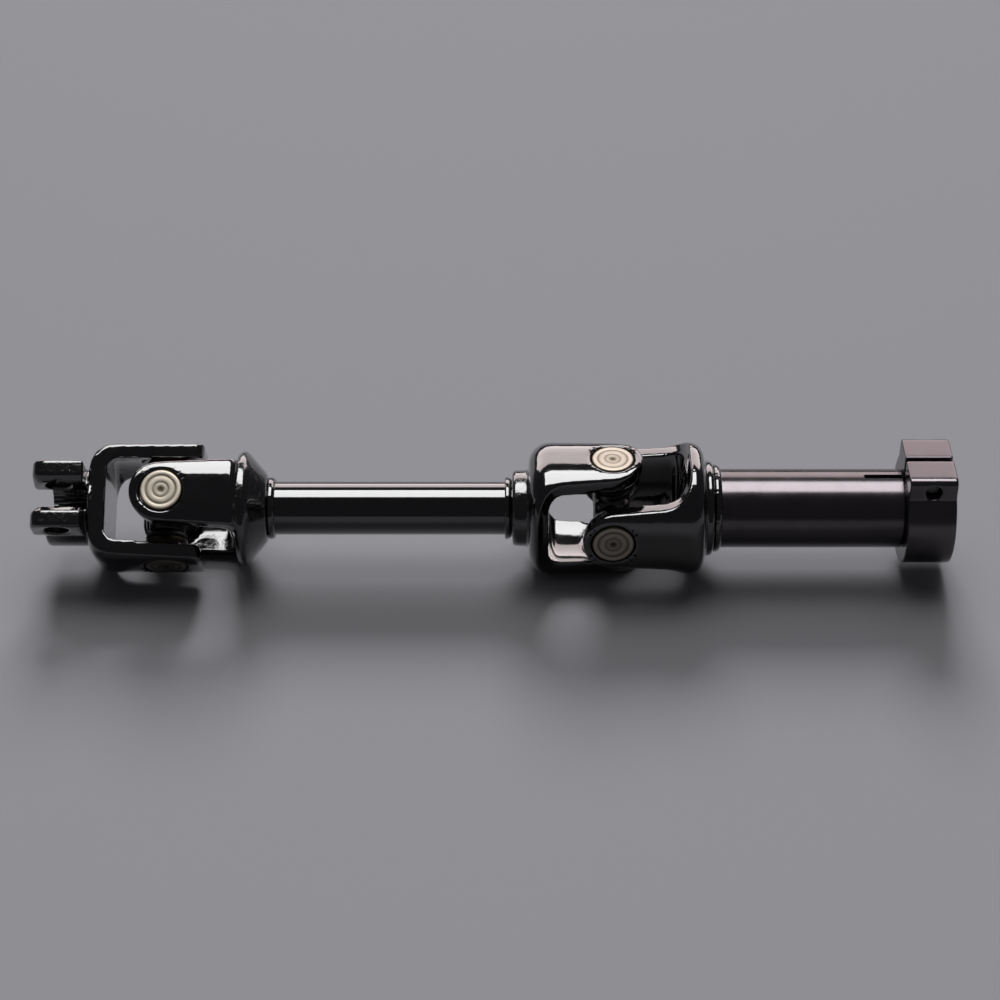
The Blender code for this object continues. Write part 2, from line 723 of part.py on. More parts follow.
def make_needles(name, material):
    """The full ring of needles of one cup, each needle touching the next, so they are one solid."""
    points = []
    for i in range(2 * NEEDLE_COUNT):
        angle = math.pi * i / NEEDLE_COUNT
        dip = NEEDLE_DIAMETER / 4 if i % 2 else 0.0
        points.append((angle, NEEDLE_INNER + dip, NEEDLE_OUTER - dip))
    bm = bmesh.new()
    rings = []
    for x in (NEEDLE_START, TRUNNION_TIP):
        for side in (1, 2):
            ring = []
            for point in points:
                y = point[side] * math.cos(point[0])
                z = point[side] * math.sin(point[0])
                ring.append(bm.verts.new((x, y, z)))
            rings.append(ring)
    count = len(points)
    for a, b in ((0, 1), (1, 3), (3, 2), (2, 0)):
        for i in range(count):
            j = (i + 1) % count
            bm.faces.new((rings[a][i], rings[a][j], rings[b][j], rings[b][i]))
    bmesh.ops.recalc_face_normals(bm, faces=bm.faces)
    return to_object(bm, name, material)


def make_seal(name, material):
    """Rubber seal on a trunnion's root, its lip inside the cup's mouth."""
    inner = TRUNNION_RADIUS + FIT
    lip = CUP_BORE - FIT
    return to_object(
        turned(
            [
                (SEAL_BOTTOM, inner),
                (SEAL_BOTTOM, SHOULDER_RADIUS),
                (SEAL_TOP, CUP_RADIUS),
                (SEAL_TOP, lip),
                (CUP_MOUTH + SEAL_LIP, lip),
                (CUP_MOUTH + SEAL_LIP, inner),
            ],
            CUP_SEGMENTS,
            ring=True,
        ),
        name,
        material,
    )


def outward(roll, index):
    """Turns a piece made along +X to the joint's arm axis of this index: 0 is +Z, 1 is +Y, then -Z and -Y."""
    tilt = Matrix.Rotation(math.pi / 2 * index, 4, "X").inverted()
    return Matrix.Rotation(roll, 4, "X") @ tilt @ Matrix.Rotation(-math.pi / 2, 4, "Y")


def make_pivot(name, parent, place):
    """An empty at a joint centre that carries a body's pieces."""
    pivot = bpy.data.objects.new(name, None)
    bpy.context.scene.collection.objects.link(pivot)
    pivot.parent = parent
    pivot.location = place
    return pivot


def seat(obj, pivot, matrix):
    """Bakes the turn into the mesh and hangs the piece on its body's empty."""
    obj.data.transform(matrix)
    obj.parent = pivot


def make_joint(side, roll, steel, cup_steel, rubber, pivots):
    """One joint's cross, seals, cups and needles. Pivots are the cross's, then those of the Z and Y cups."""
    cross_pivot, z_pivot, y_pivot = pivots
    seat(make_cross(f"cross_{side}", steel), cross_pivot, Matrix.Rotation(roll, 4, "X"))
    for index in range(4):
        turn = outward(roll, index)
        owner = y_pivot if index % 2 else z_pivot
        seat(make_seal(f"seal_{side}_{index + 1}", rubber), cross_pivot, turn)
        seat(make_cup(f"cup_{side}_{index + 1}", cup_steel), owner, turn)
        seat(make_needles(f"needles_{side}_{index + 1}", steel), owner, turn)


def stand_on_floor(root):
    """Raises the whole shaft until its lowest point is at zero."""
    bpy.context.view_layer.update()
    lowest = 0.0
    for obj in bpy.context.scene.objects:
        if obj.type == "MESH":
            lowest = min(lowest, min((obj.matrix_world @ v.co).z for v in obj.data.vertices))
    root.location.z = -lowest


def main():
    clear_scene()
    materials = {name: make_material(name) for name in FINISHES}
    black = materials["black_paint"]
    root = make_pivot("shaft_frame", None, (0.0, 0.0, 0.0))
    left_shaft = make_pivot("left_centre", root, (LEFT_CENTRE, 0.0, 0.0))
    right_shaft = make_pivot("right_centre", root, (RIGHT_CENTRE, 0.0, 0.0))
    cross_left = make_pivot("cross_left_pivot", left_shaft, (0.0, 0.0, 0.0))
    clamp = make_pivot("clamp_pivot", cross_left, (0.0, 0.0, 0.0))
    cross_right = make_pivot("cross_right_pivot", right_shaft, (0.0, 0.0, 0.0))
    sleeve = make_pivot("sleeve_pivot", cross_right, (0.0, 0.0, 0.0))

    left_turn = Matrix.Rotation(LEFT_ROLL, 4, "X")
    right_turn = Matrix.Rotation(RIGHT_ROLL, 4, "X")
    quarter = Matrix.Rotation(math.pi / 2, 4, "X")
    facing_left = Matrix.Rotation(math.pi, 4, "Z")
    seat(make_left_yoke(black), left_shaft, left_turn)
    seat(make_right_yoke(black), right_shaft, right_turn @ facing_left)
    seat(make_clamp_yoke(black), clamp, left_turn @ quarter @ facing_left)
    seat(make_sleeve_yoke(black), sleeve, right_turn @ quarter)

    seat(make_rod(black), left_shaft, Matrix.Identity(4))
    left_weld = make_bead("weld_left", black, LEFT_NECK_END + FIT, 1, ROD_RADIUS)
    seat(left_weld, left_shaft, Matrix.Identity(4))
    right_weld = make_bead("weld_right", black, -RIGHT_NECK_END - FIT, -1, ROD_RADIUS)
    seat(right_weld, right_shaft, Matrix.Identity(4))
    sleeve_weld = make_bead("weld_sleeve", black, SLEEVE_START, 1, SLEEVE_RADIUS)
    seat(sleeve_weld, sleeve, Matrix.Identity(4))
    seat(make_sleeve(materials["dark_steel"]), sleeve, right_turn)
    seat(make_collar(materials["dark_steel"]), sleeve, right_turn)
    seat(make_bolt(materials["dark_steel"]), sleeve, right_turn)

    steels = (materials["ground_steel"], materials["cup_steel"], materials["rubber"])
    make_joint("left", LEFT_ROLL, *steels, (cross_left, left_shaft, clamp))
    make_joint("right", RIGHT_ROLL, *steels, (cross_right, right_shaft, sleeve))
    stand_on_floor(root)


main()
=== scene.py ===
# %% [markdown]
# # A steering shaft in Blender
# An intermediate steering shaft joins the steering column to the steering gear. Two universal joints let it
# run at an angle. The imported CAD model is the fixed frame: it gives every size and place, and each cell
# below makes one kind of piece around it, in metres.

# %% Load the frame
import json
import math

import bmesh
import bpy
from mathutils import Matrix, Vector


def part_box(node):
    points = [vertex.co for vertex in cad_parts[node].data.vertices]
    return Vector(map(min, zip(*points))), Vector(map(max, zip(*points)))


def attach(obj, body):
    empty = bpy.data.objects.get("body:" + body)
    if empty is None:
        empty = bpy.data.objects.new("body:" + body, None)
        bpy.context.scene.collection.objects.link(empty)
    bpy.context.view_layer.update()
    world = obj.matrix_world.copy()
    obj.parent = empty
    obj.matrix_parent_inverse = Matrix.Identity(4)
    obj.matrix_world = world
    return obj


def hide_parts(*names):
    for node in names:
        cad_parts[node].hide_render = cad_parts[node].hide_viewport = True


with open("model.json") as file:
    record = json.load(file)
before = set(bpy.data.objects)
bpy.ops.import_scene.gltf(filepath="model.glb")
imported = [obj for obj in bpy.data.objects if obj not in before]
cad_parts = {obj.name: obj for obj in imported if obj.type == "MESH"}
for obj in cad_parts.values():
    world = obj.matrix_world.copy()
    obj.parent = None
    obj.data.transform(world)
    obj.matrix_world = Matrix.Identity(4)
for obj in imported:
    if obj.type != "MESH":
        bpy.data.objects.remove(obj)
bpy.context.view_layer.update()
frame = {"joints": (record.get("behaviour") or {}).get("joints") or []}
hinges = {joint["name"]: joint for joint in frame["joints"]}
print("joints:", sorted(hinges))

# %% [markdown]
# ## Where the joints are
# Each universal joint has a centre and two crossing axes, which the frame's hinges give. A yoke is easiest
# to draw in its own frame: X runs from the joint centre to the yoke's base, and Z runs along its arms. One
# matrix then carries it into place.

# %% Joint centres and yoke frames
MM = 0.001
LEFT = Vector(hinges["left_cross_hinge"]["pos_m"])
RIGHT = Vector(hinges["right_cross_hinge"]["pos_m"])
LEFT_SHAFT_ARMS = Vector(hinges["left_cross_hinge"]["axis"]).normalized()
LEFT_CLAMP_ARMS = Vector(hinges["clamp_hinge"]["axis"]).normalized()
RIGHT_SHAFT_ARMS = Vector(hinges["right_cross_hinge"]["axis"]).normalized()
RIGHT_SLEEVE_ARMS = Vector(hinges["socket_hinge"]["axis"]).normalized()
ALONG = Vector((1.0, 0.0, 0.0))


def placed(centre, forward, up):
    """The matrix that carries a piece drawn along X, with Z up, to this centre and these directions."""
    side = up.cross(forward)
    turn = Matrix((forward, side, up)).transposed().to_4x4()
    return Matrix.Translation(centre) @ turn


print("joint centres in mm:", [round(x / MM, 2) for x in (*LEFT, *RIGHT)])

# %% [markdown]
# ## Drawing with bmesh operators
# A turned part, such as a rod or a cup, is a profile that spins about X. A forged or sawn part starts as a
# few corners that are extruded to a prism, whose corner edges are bevelled round. Booleans join and cut
# these, as milling does.

# %% Spin a profile
TURN_STEPS = 96
FINE_STEPS = 128
PIN_STEPS = 48
MERGE_DISTANCE = 0.001 * MM


def turned(profile, steps=TURN_STEPS):
    """Spins (x, radius) points about X. A profile that leaves the axis closes on itself as a ring."""
    bm = bmesh.new()
    verts = [bm.verts.new((x, 0.0, radius)) for x, radius in profile]
    edges = [bm.edges.new(pair) for pair in zip(verts, verts[1:])]
    if profile[0][1] > 0.0:
        edges.append(bm.edges.new((verts[-1], verts[0])))
    bmesh.ops.spin(
        bm,
        geom=verts + edges,
        axis=(1, 0, 0),
        cent=(0, 0, 0),
        angle=2 * math.pi,
        steps=steps,
        use_merge=True,
    )
    bmesh.ops.remove_doubles(bm, verts=bm.verts, dist=MERGE_DISTANCE)
    bmesh.ops.recalc_face_normals(bm, faces=bm.faces)
    return bm


def eased_disc(low, high, radius, ease):
    """The profile of a disc or bar from low to high, the edge of its high end eased."""
    return [(low, 0.0), (low, radius), (high - ease, radius), (high, radius - ease), (high, 0.0)]


print("steps of a spin:", TURN_STEPS)

# %% Extrude and bevel
# A corner this close to a plane lies on it, and two directions this little apart are parallel.
ON_PLANE = 0.01 * MM
PARALLEL = 0.01


def pulled(bm, faces, run):
    """Extrudes these faces by a vector into a solid."""
    made = bmesh.ops.extrude_face_region(bm, geom=faces)
    tops = [item for item in made["geom"] if isinstance(item, bmesh.types.BMVert)]
    bmesh.ops.translate(bm, verts=tops, vec=run)
    bmesh.ops.recalc_face_normals(bm, faces=bm.faces)


def eased(bm, edges, offset, segments):
    """Bevels these edges, to a chamfer with one segment or to a round with more."""
    bmesh.ops.bevel(
        bm, geom=edges, offset=offset, segments=segments, profile=0.5, affect="EDGES", material=-1
    )


def prism(corners, axis, low, high, rounds=None, segments=8):
    """Extrudes corners along X, Y or Z and bevels the upright edges named in rounds by their radius."""
    # The corners of an X prism are drawn in YZ, those of a Y prism in XZ and those of a Z prism in XY.
    order = {"X": (2, 0, 1), "Y": (0, 2, 1), "Z": (0, 1, 2)}[axis]
    direction = Vector([1.0 if axis == name else 0.0 for name in "XYZ"])
    bm = bmesh.new()
    verts = []
    for a, b in corners:
        flat = (a, b, low)
        verts.append(bm.verts.new([flat[i] for i in order]))
    pulled(bm, [bm.faces.new(verts)], direction * (high - low))
    for index, radius in (rounds or {}).items():
        start = verts[index]
        upright = []
        for edge in start.link_edges:
            run = (edge.other_vert(start).co - start.co).normalized()
            if run.cross(direction).length < PARALLEL:
                upright.append(edge)
        eased(bm, upright, radius, segments)
    return bm


# %% Objects and booleans
def as_object(bm, name="tool"):
    """Puts the bmesh in a new object at the origin."""
    mesh = bpy.data.meshes.new(name)
    bm.to_mesh(mesh)
    bm.free()
    obj = bpy.data.objects.new(name, mesh)
    bpy.context.scene.collection.objects.link(obj)
    return obj


def baked(obj):
    """Applies the object's modifiers to its mesh."""
    graph = bpy.context.evaluated_depsgraph_get()
    mesh = bpy.data.meshes.new_from_object(obj.evaluated_get(graph))
    obj.modifiers.clear()
    obj.data = mesh
    return obj


def carve(obj, bm, operation="DIFFERENCE"):
    """Cuts the bmesh from the object, joins it or keeps what they share."""
    tool = as_object(bm)
    step = obj.modifiers.new("carve", "BOOLEAN")
    step.operation = operation
    step.solver = "MANIFOLD"
    step.object = tool
    baked(obj)
    bpy.data.objects.remove(tool)


# %% [markdown]
# ## Soft edges
# No edge on a forged and painted part is sharp, and it is the narrow round along an edge that catches the
# light. A bevel would fail where cuts meet at odd angles, so the joined shape is remeshed in small voxels
# and relaxed a little, which rounds every edge by about a voxel. A spun profile is rounded by subdivision.

# %% Remesh, relax and subdivide
def softened(obj, voxel, passes):
    """Rebuilds the mesh in voxels of this size and relaxes it this many times."""
    remesh = obj.modifiers.new("voxels", "REMESH")
    remesh.mode = "VOXEL"
    remesh.voxel_size = voxel
    relax = obj.modifiers.new("relax", "SMOOTH")
    relax.factor = 0.5
    relax.iterations = passes
    return baked(obj)


def subdivided(obj):
    """Rounds the mesh by one subdivision."""
    fine = obj.modifiers.new("fine", "SUBSURF")
    fine.levels = fine.render_levels = 1
    return baked(obj)


# %% Finish a piece
FORMED_CREASE = 50.0
TURNED_CREASE = 35.0
ROLLER_CREASE = 40.0


def piece(obj, name, body, nodes, material, matrix=None, crease=None):
    """Finishes a piece: its place, its shading, its body and the CAD nodes that it stands for.

    Faces that meet at more than the crease, in degrees, are shaded with a sharp edge between them.
    """
    obj.name = name
    mesh = obj.data
    if matrix:
        mesh.transform(matrix)
    mesh.shade_smooth()
    if crease:
        mesh.set_sharp_from_angle(angle=math.radians(crease))
    mesh.materials.clear()
    mesh.materials.append(material)
    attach(obj, body)
    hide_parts(*nodes)
    print(f"{name}: {len(mesh.polygons)} faces")


# %% [markdown]
# ## Finishes
# Colours are written as sRGB hex, because that is what a colour picker shows, and one function turns them
# into the linear light that Blender adds up. Every pattern is set by a real size in millimetres. A pattern
# reaches the shader in two ways: a Map Range node spreads it over a range of roughness, and a Bump node
# lets it tilt the surface.

# %% Colour and node helpers
NOISE = "ShaderNodeTexNoise"
MATHS = "ShaderNodeMath"
MIX = "ShaderNodeMix"
SPREAD = "ShaderNodeMapRange"
BUMP = "ShaderNodeBump"
ATTRIBUTE = "ShaderNodeAttribute"


def linear(code):
    """An sRGB hex colour as linear RGBA."""
    channels = [int(code[i : i + 2], 16) / 255 for i in (1, 3, 5)]
    return [c / 12.92 if c <= 0.04045 else ((c + 0.055) / 1.055) ** 2.4 for c in channels] + [1.0]


def node(material, kind, inputs, feeds=None, **settings):
    """Adds a node: inputs are its values or the sockets that feed it, and settings its properties.

    feeds names one of its outputs and the socket that this output goes to.
    """
    tree = material.node_tree
    made = tree.nodes.new(kind)
    for key, value in settings.items():
        setattr(made, key, value)
    for key, value in inputs.items():
        if isinstance(value, bpy.types.NodeSocket):
            tree.links.new(value, made.inputs[key])
        else:
            made.inputs[key].default_value = value
    if feeds:
        output, socket = feeds
        tree.links.new(made.outputs[output], socket)
    return made


def per_size(size_mm):
    """The scale of a pattern whose features are this many millimetres wide."""
    return 1.0 / (size_mm * MM)


def new_finish(name, **values):
    """A Principled material with these uniform values, its shader's sockets and its object coordinates."""
    material = bpy.data.materials.new(name)
    material.use_nodes = True
    sockets = material.node_tree.nodes["Principled BSDF"].inputs
    for key, value in values.items():
        sockets[key.replace("_", " ")].default_value = value
    place = node(material, "ShaderNodeTexCoord", {}).outputs["Object"]
    return material, sockets, place


# %% [markdown]
# ### Black enamel
# The yokes are forged steel under a stoved black enamel. Enamel is a smooth dielectric, so it is nearly
# black with a bright mirror-like sheen. The forging below gives slow waves a few millimetres wide, and the
# paint's own skin adds a finer orange peel. Where a face was never machined, forging scale shows through as
# pits. The rod is drawn bar, so its waves are longer and far shallower.

# %% Enamel on forged steel
SKIN_SIZE = 1.2
SKIN_SHARE = 0.12
SCALE_SIZE = 2.6
SCALE_HEIGHT = 3.2


def enamel(name, wave_size, wave_depth, low, high):
    """Gloss black enamel over waves of this size and depth in millimetres, its roughness from low to high.

    Where the piece's scale attribute is 1, forging scale pits it.
    """
    material, sockets, place = new_finish(
        name, Base_Color=linear("#080809"), IOR=1.54, Coat_Weight=1.0, Coat_Roughness=0.04, Coat_IOR=1.54
    )
    waves = node(material, NOISE, {"Vector": place, "Scale": per_size(wave_size), "Detail": 2.0})
    skin = node(material, NOISE, {"Vector": place, "Scale": per_size(SKIN_SIZE), "Detail": 1.0})
    pits = node(material, NOISE, {"Vector": place, "Scale": per_size(SCALE_SIZE), "Detail": 3.0})
    scale = node(material, ATTRIBUTE, {}, attribute_name="scale")
    rough = node(material, MATHS, {0: pits.outputs["Fac"], 1: scale.outputs["Fac"]}, operation="MULTIPLY")
    paint = {0: skin.outputs["Fac"], 1: SKIN_SHARE, 2: waves.outputs["Fac"]}
    smooth = node(material, MATHS, paint, operation="MULTIPLY_ADD")
    relief = {0: rough.outputs["Value"], 1: SCALE_HEIGHT, 2: smooth.outputs["Value"]}
    height = node(material, MATHS, relief, operation="MULTIPLY_ADD").outputs["Value"]
    sheen = {0: rough.outputs["Value"], 1: waves.outputs["Fac"]}
    dull = node(material, MATHS, sheen, operation="ADD").outputs["Value"]
    node(material, SPREAD, {"Value": dull, "To Min": low, "To Max": high}, ("Result", sockets["Roughness"]))
    lift = {"Height": height, "Distance": wave_depth * MM, "Strength": 1.0}
    node(material, BUMP, lift, ("Normal", sockets["Normal"]))
    return material


forged_enamel = enamel("forged_enamel", wave_size=5.0, wave_depth=0.10, low=0.05, high=0.16)
drawn_enamel = enamel("drawn_enamel", wave_size=12.0, wave_depth=0.012, low=0.05, high=0.10)
print("enamels:", forged_enamel.name, drawn_enamel.name)

# %% [markdown]
# ### Phosphated steel
# The sleeve and its collar are bare steel with a dark grey phosphate coat, a fine crystal layer that
# scatters light. It is a metal with a soft broad sheen. The sleeve was turned, which leaves fine rings
# round it. The real crystals and rings are some hundredths of a millimetre wide, too fine to show, so they
# are drawn about ten times as coarse.

# %% Phosphate coat
CLOUD_SIZE = 6.0
RING_SIZE = 0.4
RING_STRETCH = 0.02
CRYSTAL_SIZE = 0.5
CRYSTAL_HEIGHT = 0.01 * MM


def phosphate(name, low, high, colours):
    """Dark crystal coat on steel, with cloudy patches and fine turning marks."""
    material, sockets, place = new_finish(name, Metallic=0.85)
    patches = {"Vector": place, "Scale": per_size(CLOUD_SIZE), "Detail": 4.0}
    cloud = node(material, NOISE, patches).outputs["Fac"]
    tint = {"Factor": cloud, "A": linear(colours[0]), "B": linear(colours[1])}
    node(material, MIX, tint, ("Result", sockets["Base Color"]), data_type="RGBA")
    squeeze = {"Vector": place, "Scale": (1.0, RING_STRETCH, RING_STRETCH)}
    round_it = node(material, "ShaderNodeMapping", squeeze).outputs["Vector"]
    rings = node(material, NOISE, {"Vector": round_it, "Scale": per_size(RING_SIZE), "Detail": 2.0})
    grain = node(material, NOISE, {"Vector": place, "Scale": per_size(CRYSTAL_SIZE), "Detail": 2.0})
    both = node(material, MATHS, {0: rings.outputs["Fac"], 1: grain.outputs["Fac"]}, operation="ADD")
    node(material, SPREAD, {"Value": cloud, "To Min": low, "To Max": high}, ("Result", sockets["Roughness"]))
    lift = {"Height": both.outputs["Value"], "Distance": CRYSTAL_HEIGHT, "Strength": 0.5}
    node(material, BUMP, lift, ("Normal", sockets["Normal"]))
    return material


sleeve_phosphate = phosphate("sleeve_phosphate", low=0.15, high=0.22, colours=("#4B4649", "#595457"))
collar_phosphate = phosphate("collar_phosphate", low=0.16, high=0.24, colours=("#504B4E", "#5E595C"))
print("phosphates:", sleeve_phosphate.name, collar_phosphate.name)

# %% [markdown]
# ### Bearing steel, ground steel and rubber
# A bearing cup is drawn from sheet steel and hardened, which leaves a pale straw-grey skin. The cross is a
# darker forging, and the needles are ground bright. The seals are moulded nitrile rubber, matt and almost
# black. The grain of each is finer than the render shows, so it is drawn about half a millimetre wide.

# %% Cup, cross and needle steel
STAIN_SIZE = 3.0
GRAIN_HEIGHT = 0.01 * MM


def bright_steel(name, colours, low, high, grain_size, groove_shade=None):
    """Bare steel with faint stains and a fine grain, and painted shade where the groove attribute is 1."""
    material, sockets, place = new_finish(name, Metallic=1.0)
    patches = {"Vector": place, "Scale": per_size(STAIN_SIZE), "Detail": 3.0}
    stain = node(material, NOISE, patches).outputs["Fac"]
    tint = {"Factor": stain, "A": linear(colours[0]), "B": linear(colours[1])}
    skin = node(material, MIX, tint, ("Result", sockets["Base Color"]), data_type="RGBA")
    if groove_shade:
        # A socket takes one link, so the colour with painted shade in the grooves takes the place of the
        # plain one.
        groove = node(material, ATTRIBUTE, {}, attribute_name="groove")
        tint = {"Factor": groove.outputs["Fac"], "A": skin.outputs["Result"], "B": linear(groove_shade)}
        node(material, MIX, tint, ("Result", sockets["Base Color"]), data_type="RGBA")
    grain = node(material, NOISE, {"Vector": place, "Scale": per_size(grain_size), "Detail": 2.0})
    node(material, SPREAD, {"Value": stain, "To Min": low, "To Max": high}, ("Result", sockets["Roughness"]))
    lift = {"Height": grain.outputs["Fac"], "Distance": GRAIN_HEIGHT, "Strength": 0.4}
    node(material, BUMP, lift, ("Normal", sockets["Normal"]))
    return material


# The cup's third colour, #4A4539, is painted shade in the grooves of its face.
cup_steel = bright_steel(
    "cup_steel_drawn", ("#9F978A", "#B8AFA3"), low=0.42, high=0.55, grain_size=0.5, groove_shade="#4A4539"
)
cross_steel = bright_steel("cross_steel_forged", ("#4C4A48", "#64625E"), low=0.3, high=0.45, grain_size=0.6)
needle_steel = bright_steel("needle_steel_ground", ("#B8B8BA", "#CFCFD0"), low=0.12, high=0.2, grain_size=0.4)
print("steels:", cup_steel.name, cross_steel.name, needle_steel.name)

# %% Nitrile rubber
RUBBER_GRAIN = 0.6
RUBBER_HEIGHT = 0.03 * MM


def moulded_rubber(name):
    """Almost black matt rubber with the grain of its mould."""
    material, sockets, place = new_finish(name, Base_Color=linear("#161617"), IOR=1.5)
    pattern = {"Vector": place, "Scale": per_size(RUBBER_GRAIN), "Detail": 3.0}
    grain = node(material, NOISE, pattern).outputs["Fac"]
    node(material, SPREAD, {"Value": grain, "To Min": 0.55, "To Max": 0.75}, ("Result", sockets["Roughness"]))
    lift = {"Height": grain, "Distance": RUBBER_HEIGHT, "Strength": 0.5}
    node(material, BUMP, lift, ("Normal", sockets["Normal"]))
    return material


nitrile = moulded_rubber("nitrile_rubber")
print("finishes:", len(bpy.data.materials))

# %% [markdown]
# ## The forged yokes
# All four yokes are forks on one rounded-square section. The outside is a block with its long edges bevelled
# into that section and its base edge bevelled into a shoulder. A plan trims the arms to width and lets them
# flare into the base. The fork's opening is slightly hollow in each arm, so its cutter is what two wide
# turned tools share. A bore through each arm takes a bearing cup.

# %% Yoke sizes
SECTION_HALF = 22.2 * MM
SECTION_CORNER = 18.7 * MM
ARM_THICKNESS = 5.0 * MM
ARM_INNER = SECTION_HALF - ARM_THICKNESS
ARM_HOLLOW = 30.0 * MM
FLARE = 10.0 * MM
CUP_RADIUS = 7.5 * MM
CUP_GAP = 0.15 * MM
CUP_SEAT = CUP_RADIUS + CUP_GAP
BOSS_RADIUS = 9.9 * MM
BOSS_HEIGHT = 1.5 * MM
THROAT_FILLET = 4.0 * MM
BORE_EASE = 0.7 * MM
# A turned shoulder starts this deep in its fork, so that the two overlap.
ROOT = 1.0 * MM
# A cut runs this far, which is past the end of any yoke.
FAR = 60.0 * MM
print("fork opening in mm:", round(2 * ARM_INNER / MM, 1))

# %% [markdown]
# A cup is pressed into its bore, and then a punch drives a little steel over its edge at four places, three
# strokes at each. These strokes are cut after the edges are softened, so that they stay crisp.

# %% Stake marks
STAKE_PLACES = 4
STAKE_FIRST = 45.0
STAKE_STROKES = (-15.0, 0.0, 15.0)
STAKE_SIZE = (2.3 * MM, 0.75 * MM, 0.55 * MM)
STAKE_OVERLAP = 0.3 * MM
STAKE_START = CUP_SEAT - STAKE_OVERLAP
STAKE_LEAN = 12.0


def stake_marks(side):
    """The strokes round one bore, as slim wedges that lie along the bore's radii."""
    bm = bmesh.new()
    for place in range(STAKE_PLACES):
        for stroke in STAKE_STROKES:
            angle = math.radians(STAKE_FIRST + 360.0 * place / STAKE_PLACES + stroke)
            middle = Matrix.Translation((STAKE_START + STAKE_SIZE[0] / 2, 0.0, side * SECTION_HALF))
            size = Matrix.Diagonal((STAKE_SIZE[0], STAKE_SIZE[1], 2 * STAKE_SIZE[2], 1.0))
            lean = Matrix.Rotation(side * math.radians(STAKE_LEAN), 4, "Y")
            place_on_arm = Matrix.Rotation(angle, 4, "Z") @ middle @ lean @ size
            bmesh.ops.create_cube(bm, size=1.0, matrix=place_on_arm)
    return bm


print("punch marks round a bore:", STAKE_PLACES * len(STAKE_STROKES))


# %% Fork blank
def section_block(base_end, shoulder):
    """The outside of a yoke, its far end open to be trimmed."""
    square = [(s * SECTION_HALF, t * SECTION_HALF) for s, t in ((-1, -1), (1, -1), (1, 1), (-1, 1))]
    bm = prism(square, "X", -FAR, base_end, {i: SECTION_CORNER for i in range(4)}, segments=12)
    rim = [e for e in bm.edges if all(abs(v.co.x - base_end) < ON_PLANE for v in e.verts)]
    eased(bm, rim, shoulder, segments=8)
    return bm


def round_pin(radius, low, high, axis, place=(0.0, 0.0, 0.0), steps=PIN_STEPS):
    """A cylinder along X, Y or Z through a place."""
    bm = turned([(low, 0.0), (low, radius), (high, radius), (high, 0.0)], steps)
    turn = {
        "X": Matrix(),
        "Y": Matrix.Rotation(math.pi / 2, 4, "Z"),
        "Z": Matrix.Rotation(-math.pi / 2, 4, "Y"),
    }[axis]
    bmesh.ops.transform(bm, matrix=Matrix.Translation(place) @ turn, verts=bm.verts)
    return bm


# %% Arm plan
def straight_side(waist, half):
    """A side of the arms that runs on past its waist in one line."""
    return waist, half, False


def flared_side(waist, half):
    """A side of the arms that flares past its waist into the full section."""
    return waist, half, True


def arm_plan(end, end_half, end_round, sides):
    """The plan that trims the arms, as a prism along Z.

    The sides are those at -Y and +Y. A side's half-width at its waist and at the arm's end gives its slope.
    """
    corners, rounds = [], {}
    for side, (waist, half, flares) in zip((-1, 1), sides):
        run = [(-end, side * end_half)]
        if flares:
            slope = (half - end_half) / (waist + end)
            turn = (waist + FLARE, side * (half + slope * FLARE))
            run += [turn, (turn[0], side * FAR), (FAR, side * FAR)]
        else:
            run.append((waist, side * half))
        corners += run if side < 0 else run[::-1]
        rounds[0 if side < 0 else len(corners) - 1] = end_round
        if flares:
            rounds[1 if side < 0 else len(corners) - 2] = FLARE
    return prism(corners, "Z", -FAR, FAR, rounds, segments=16)


# %% Fork opening
FILLET_STEPS = 6
HOLLOW_STEPS = 180


def crowned_slot(throat):
    """What opens a fork: what two wide turned tools share, each set towards the arm that it doesn't cut."""
    profile = [(-FAR, 0.0), (-FAR, ARM_HOLLOW)]
    for i in range(FILLET_STEPS + 1):
        angle = math.pi / 2 * i / FILLET_STEPS
        x = throat - THROAT_FILLET * (1 - math.sin(angle))
        profile.append((x, ARM_HOLLOW - THROAT_FILLET * (1 - math.cos(angle))))
    profile.append((throat, 0.0))
    tools = []
    for side in (-1, 1):
        bm = turned(profile, HOLLOW_STEPS)
        bmesh.ops.translate(bm, verts=bm.verts, vec=(0.0, 0.0, side * (ARM_HOLLOW - ARM_INNER)))
        tools.append(bm)
    shared = as_object(tools[0])
    carve(shared, tools[1], "INTERSECT")
    slot = bmesh.new()
    slot.from_mesh(shared.data)
    bpy.data.objects.remove(shared)
    return slot


# %% Whole fork
FORGING_VOXEL = 0.42 * MM
FORGING_PASSES = 22


def bore_mouth(side):
    """The funnel that eases the outer edge of one bore."""
    profile = [(SECTION_HALF - BORE_EASE, 0.0), (SECTION_HALF - BORE_EASE, CUP_SEAT)]
    profile += [(SECTION_HALF + MM, CUP_SEAT + BORE_EASE + MM), (SECTION_HALF + MM, 0.0)]
    funnel = turned(profile, PIN_STEPS)
    turn = Matrix.Rotation(-side * math.pi / 2, 3, "Y")
    bmesh.ops.rotate(funnel, verts=funnel.verts, cent=(0, 0, 0), matrix=turn)
    return funnel


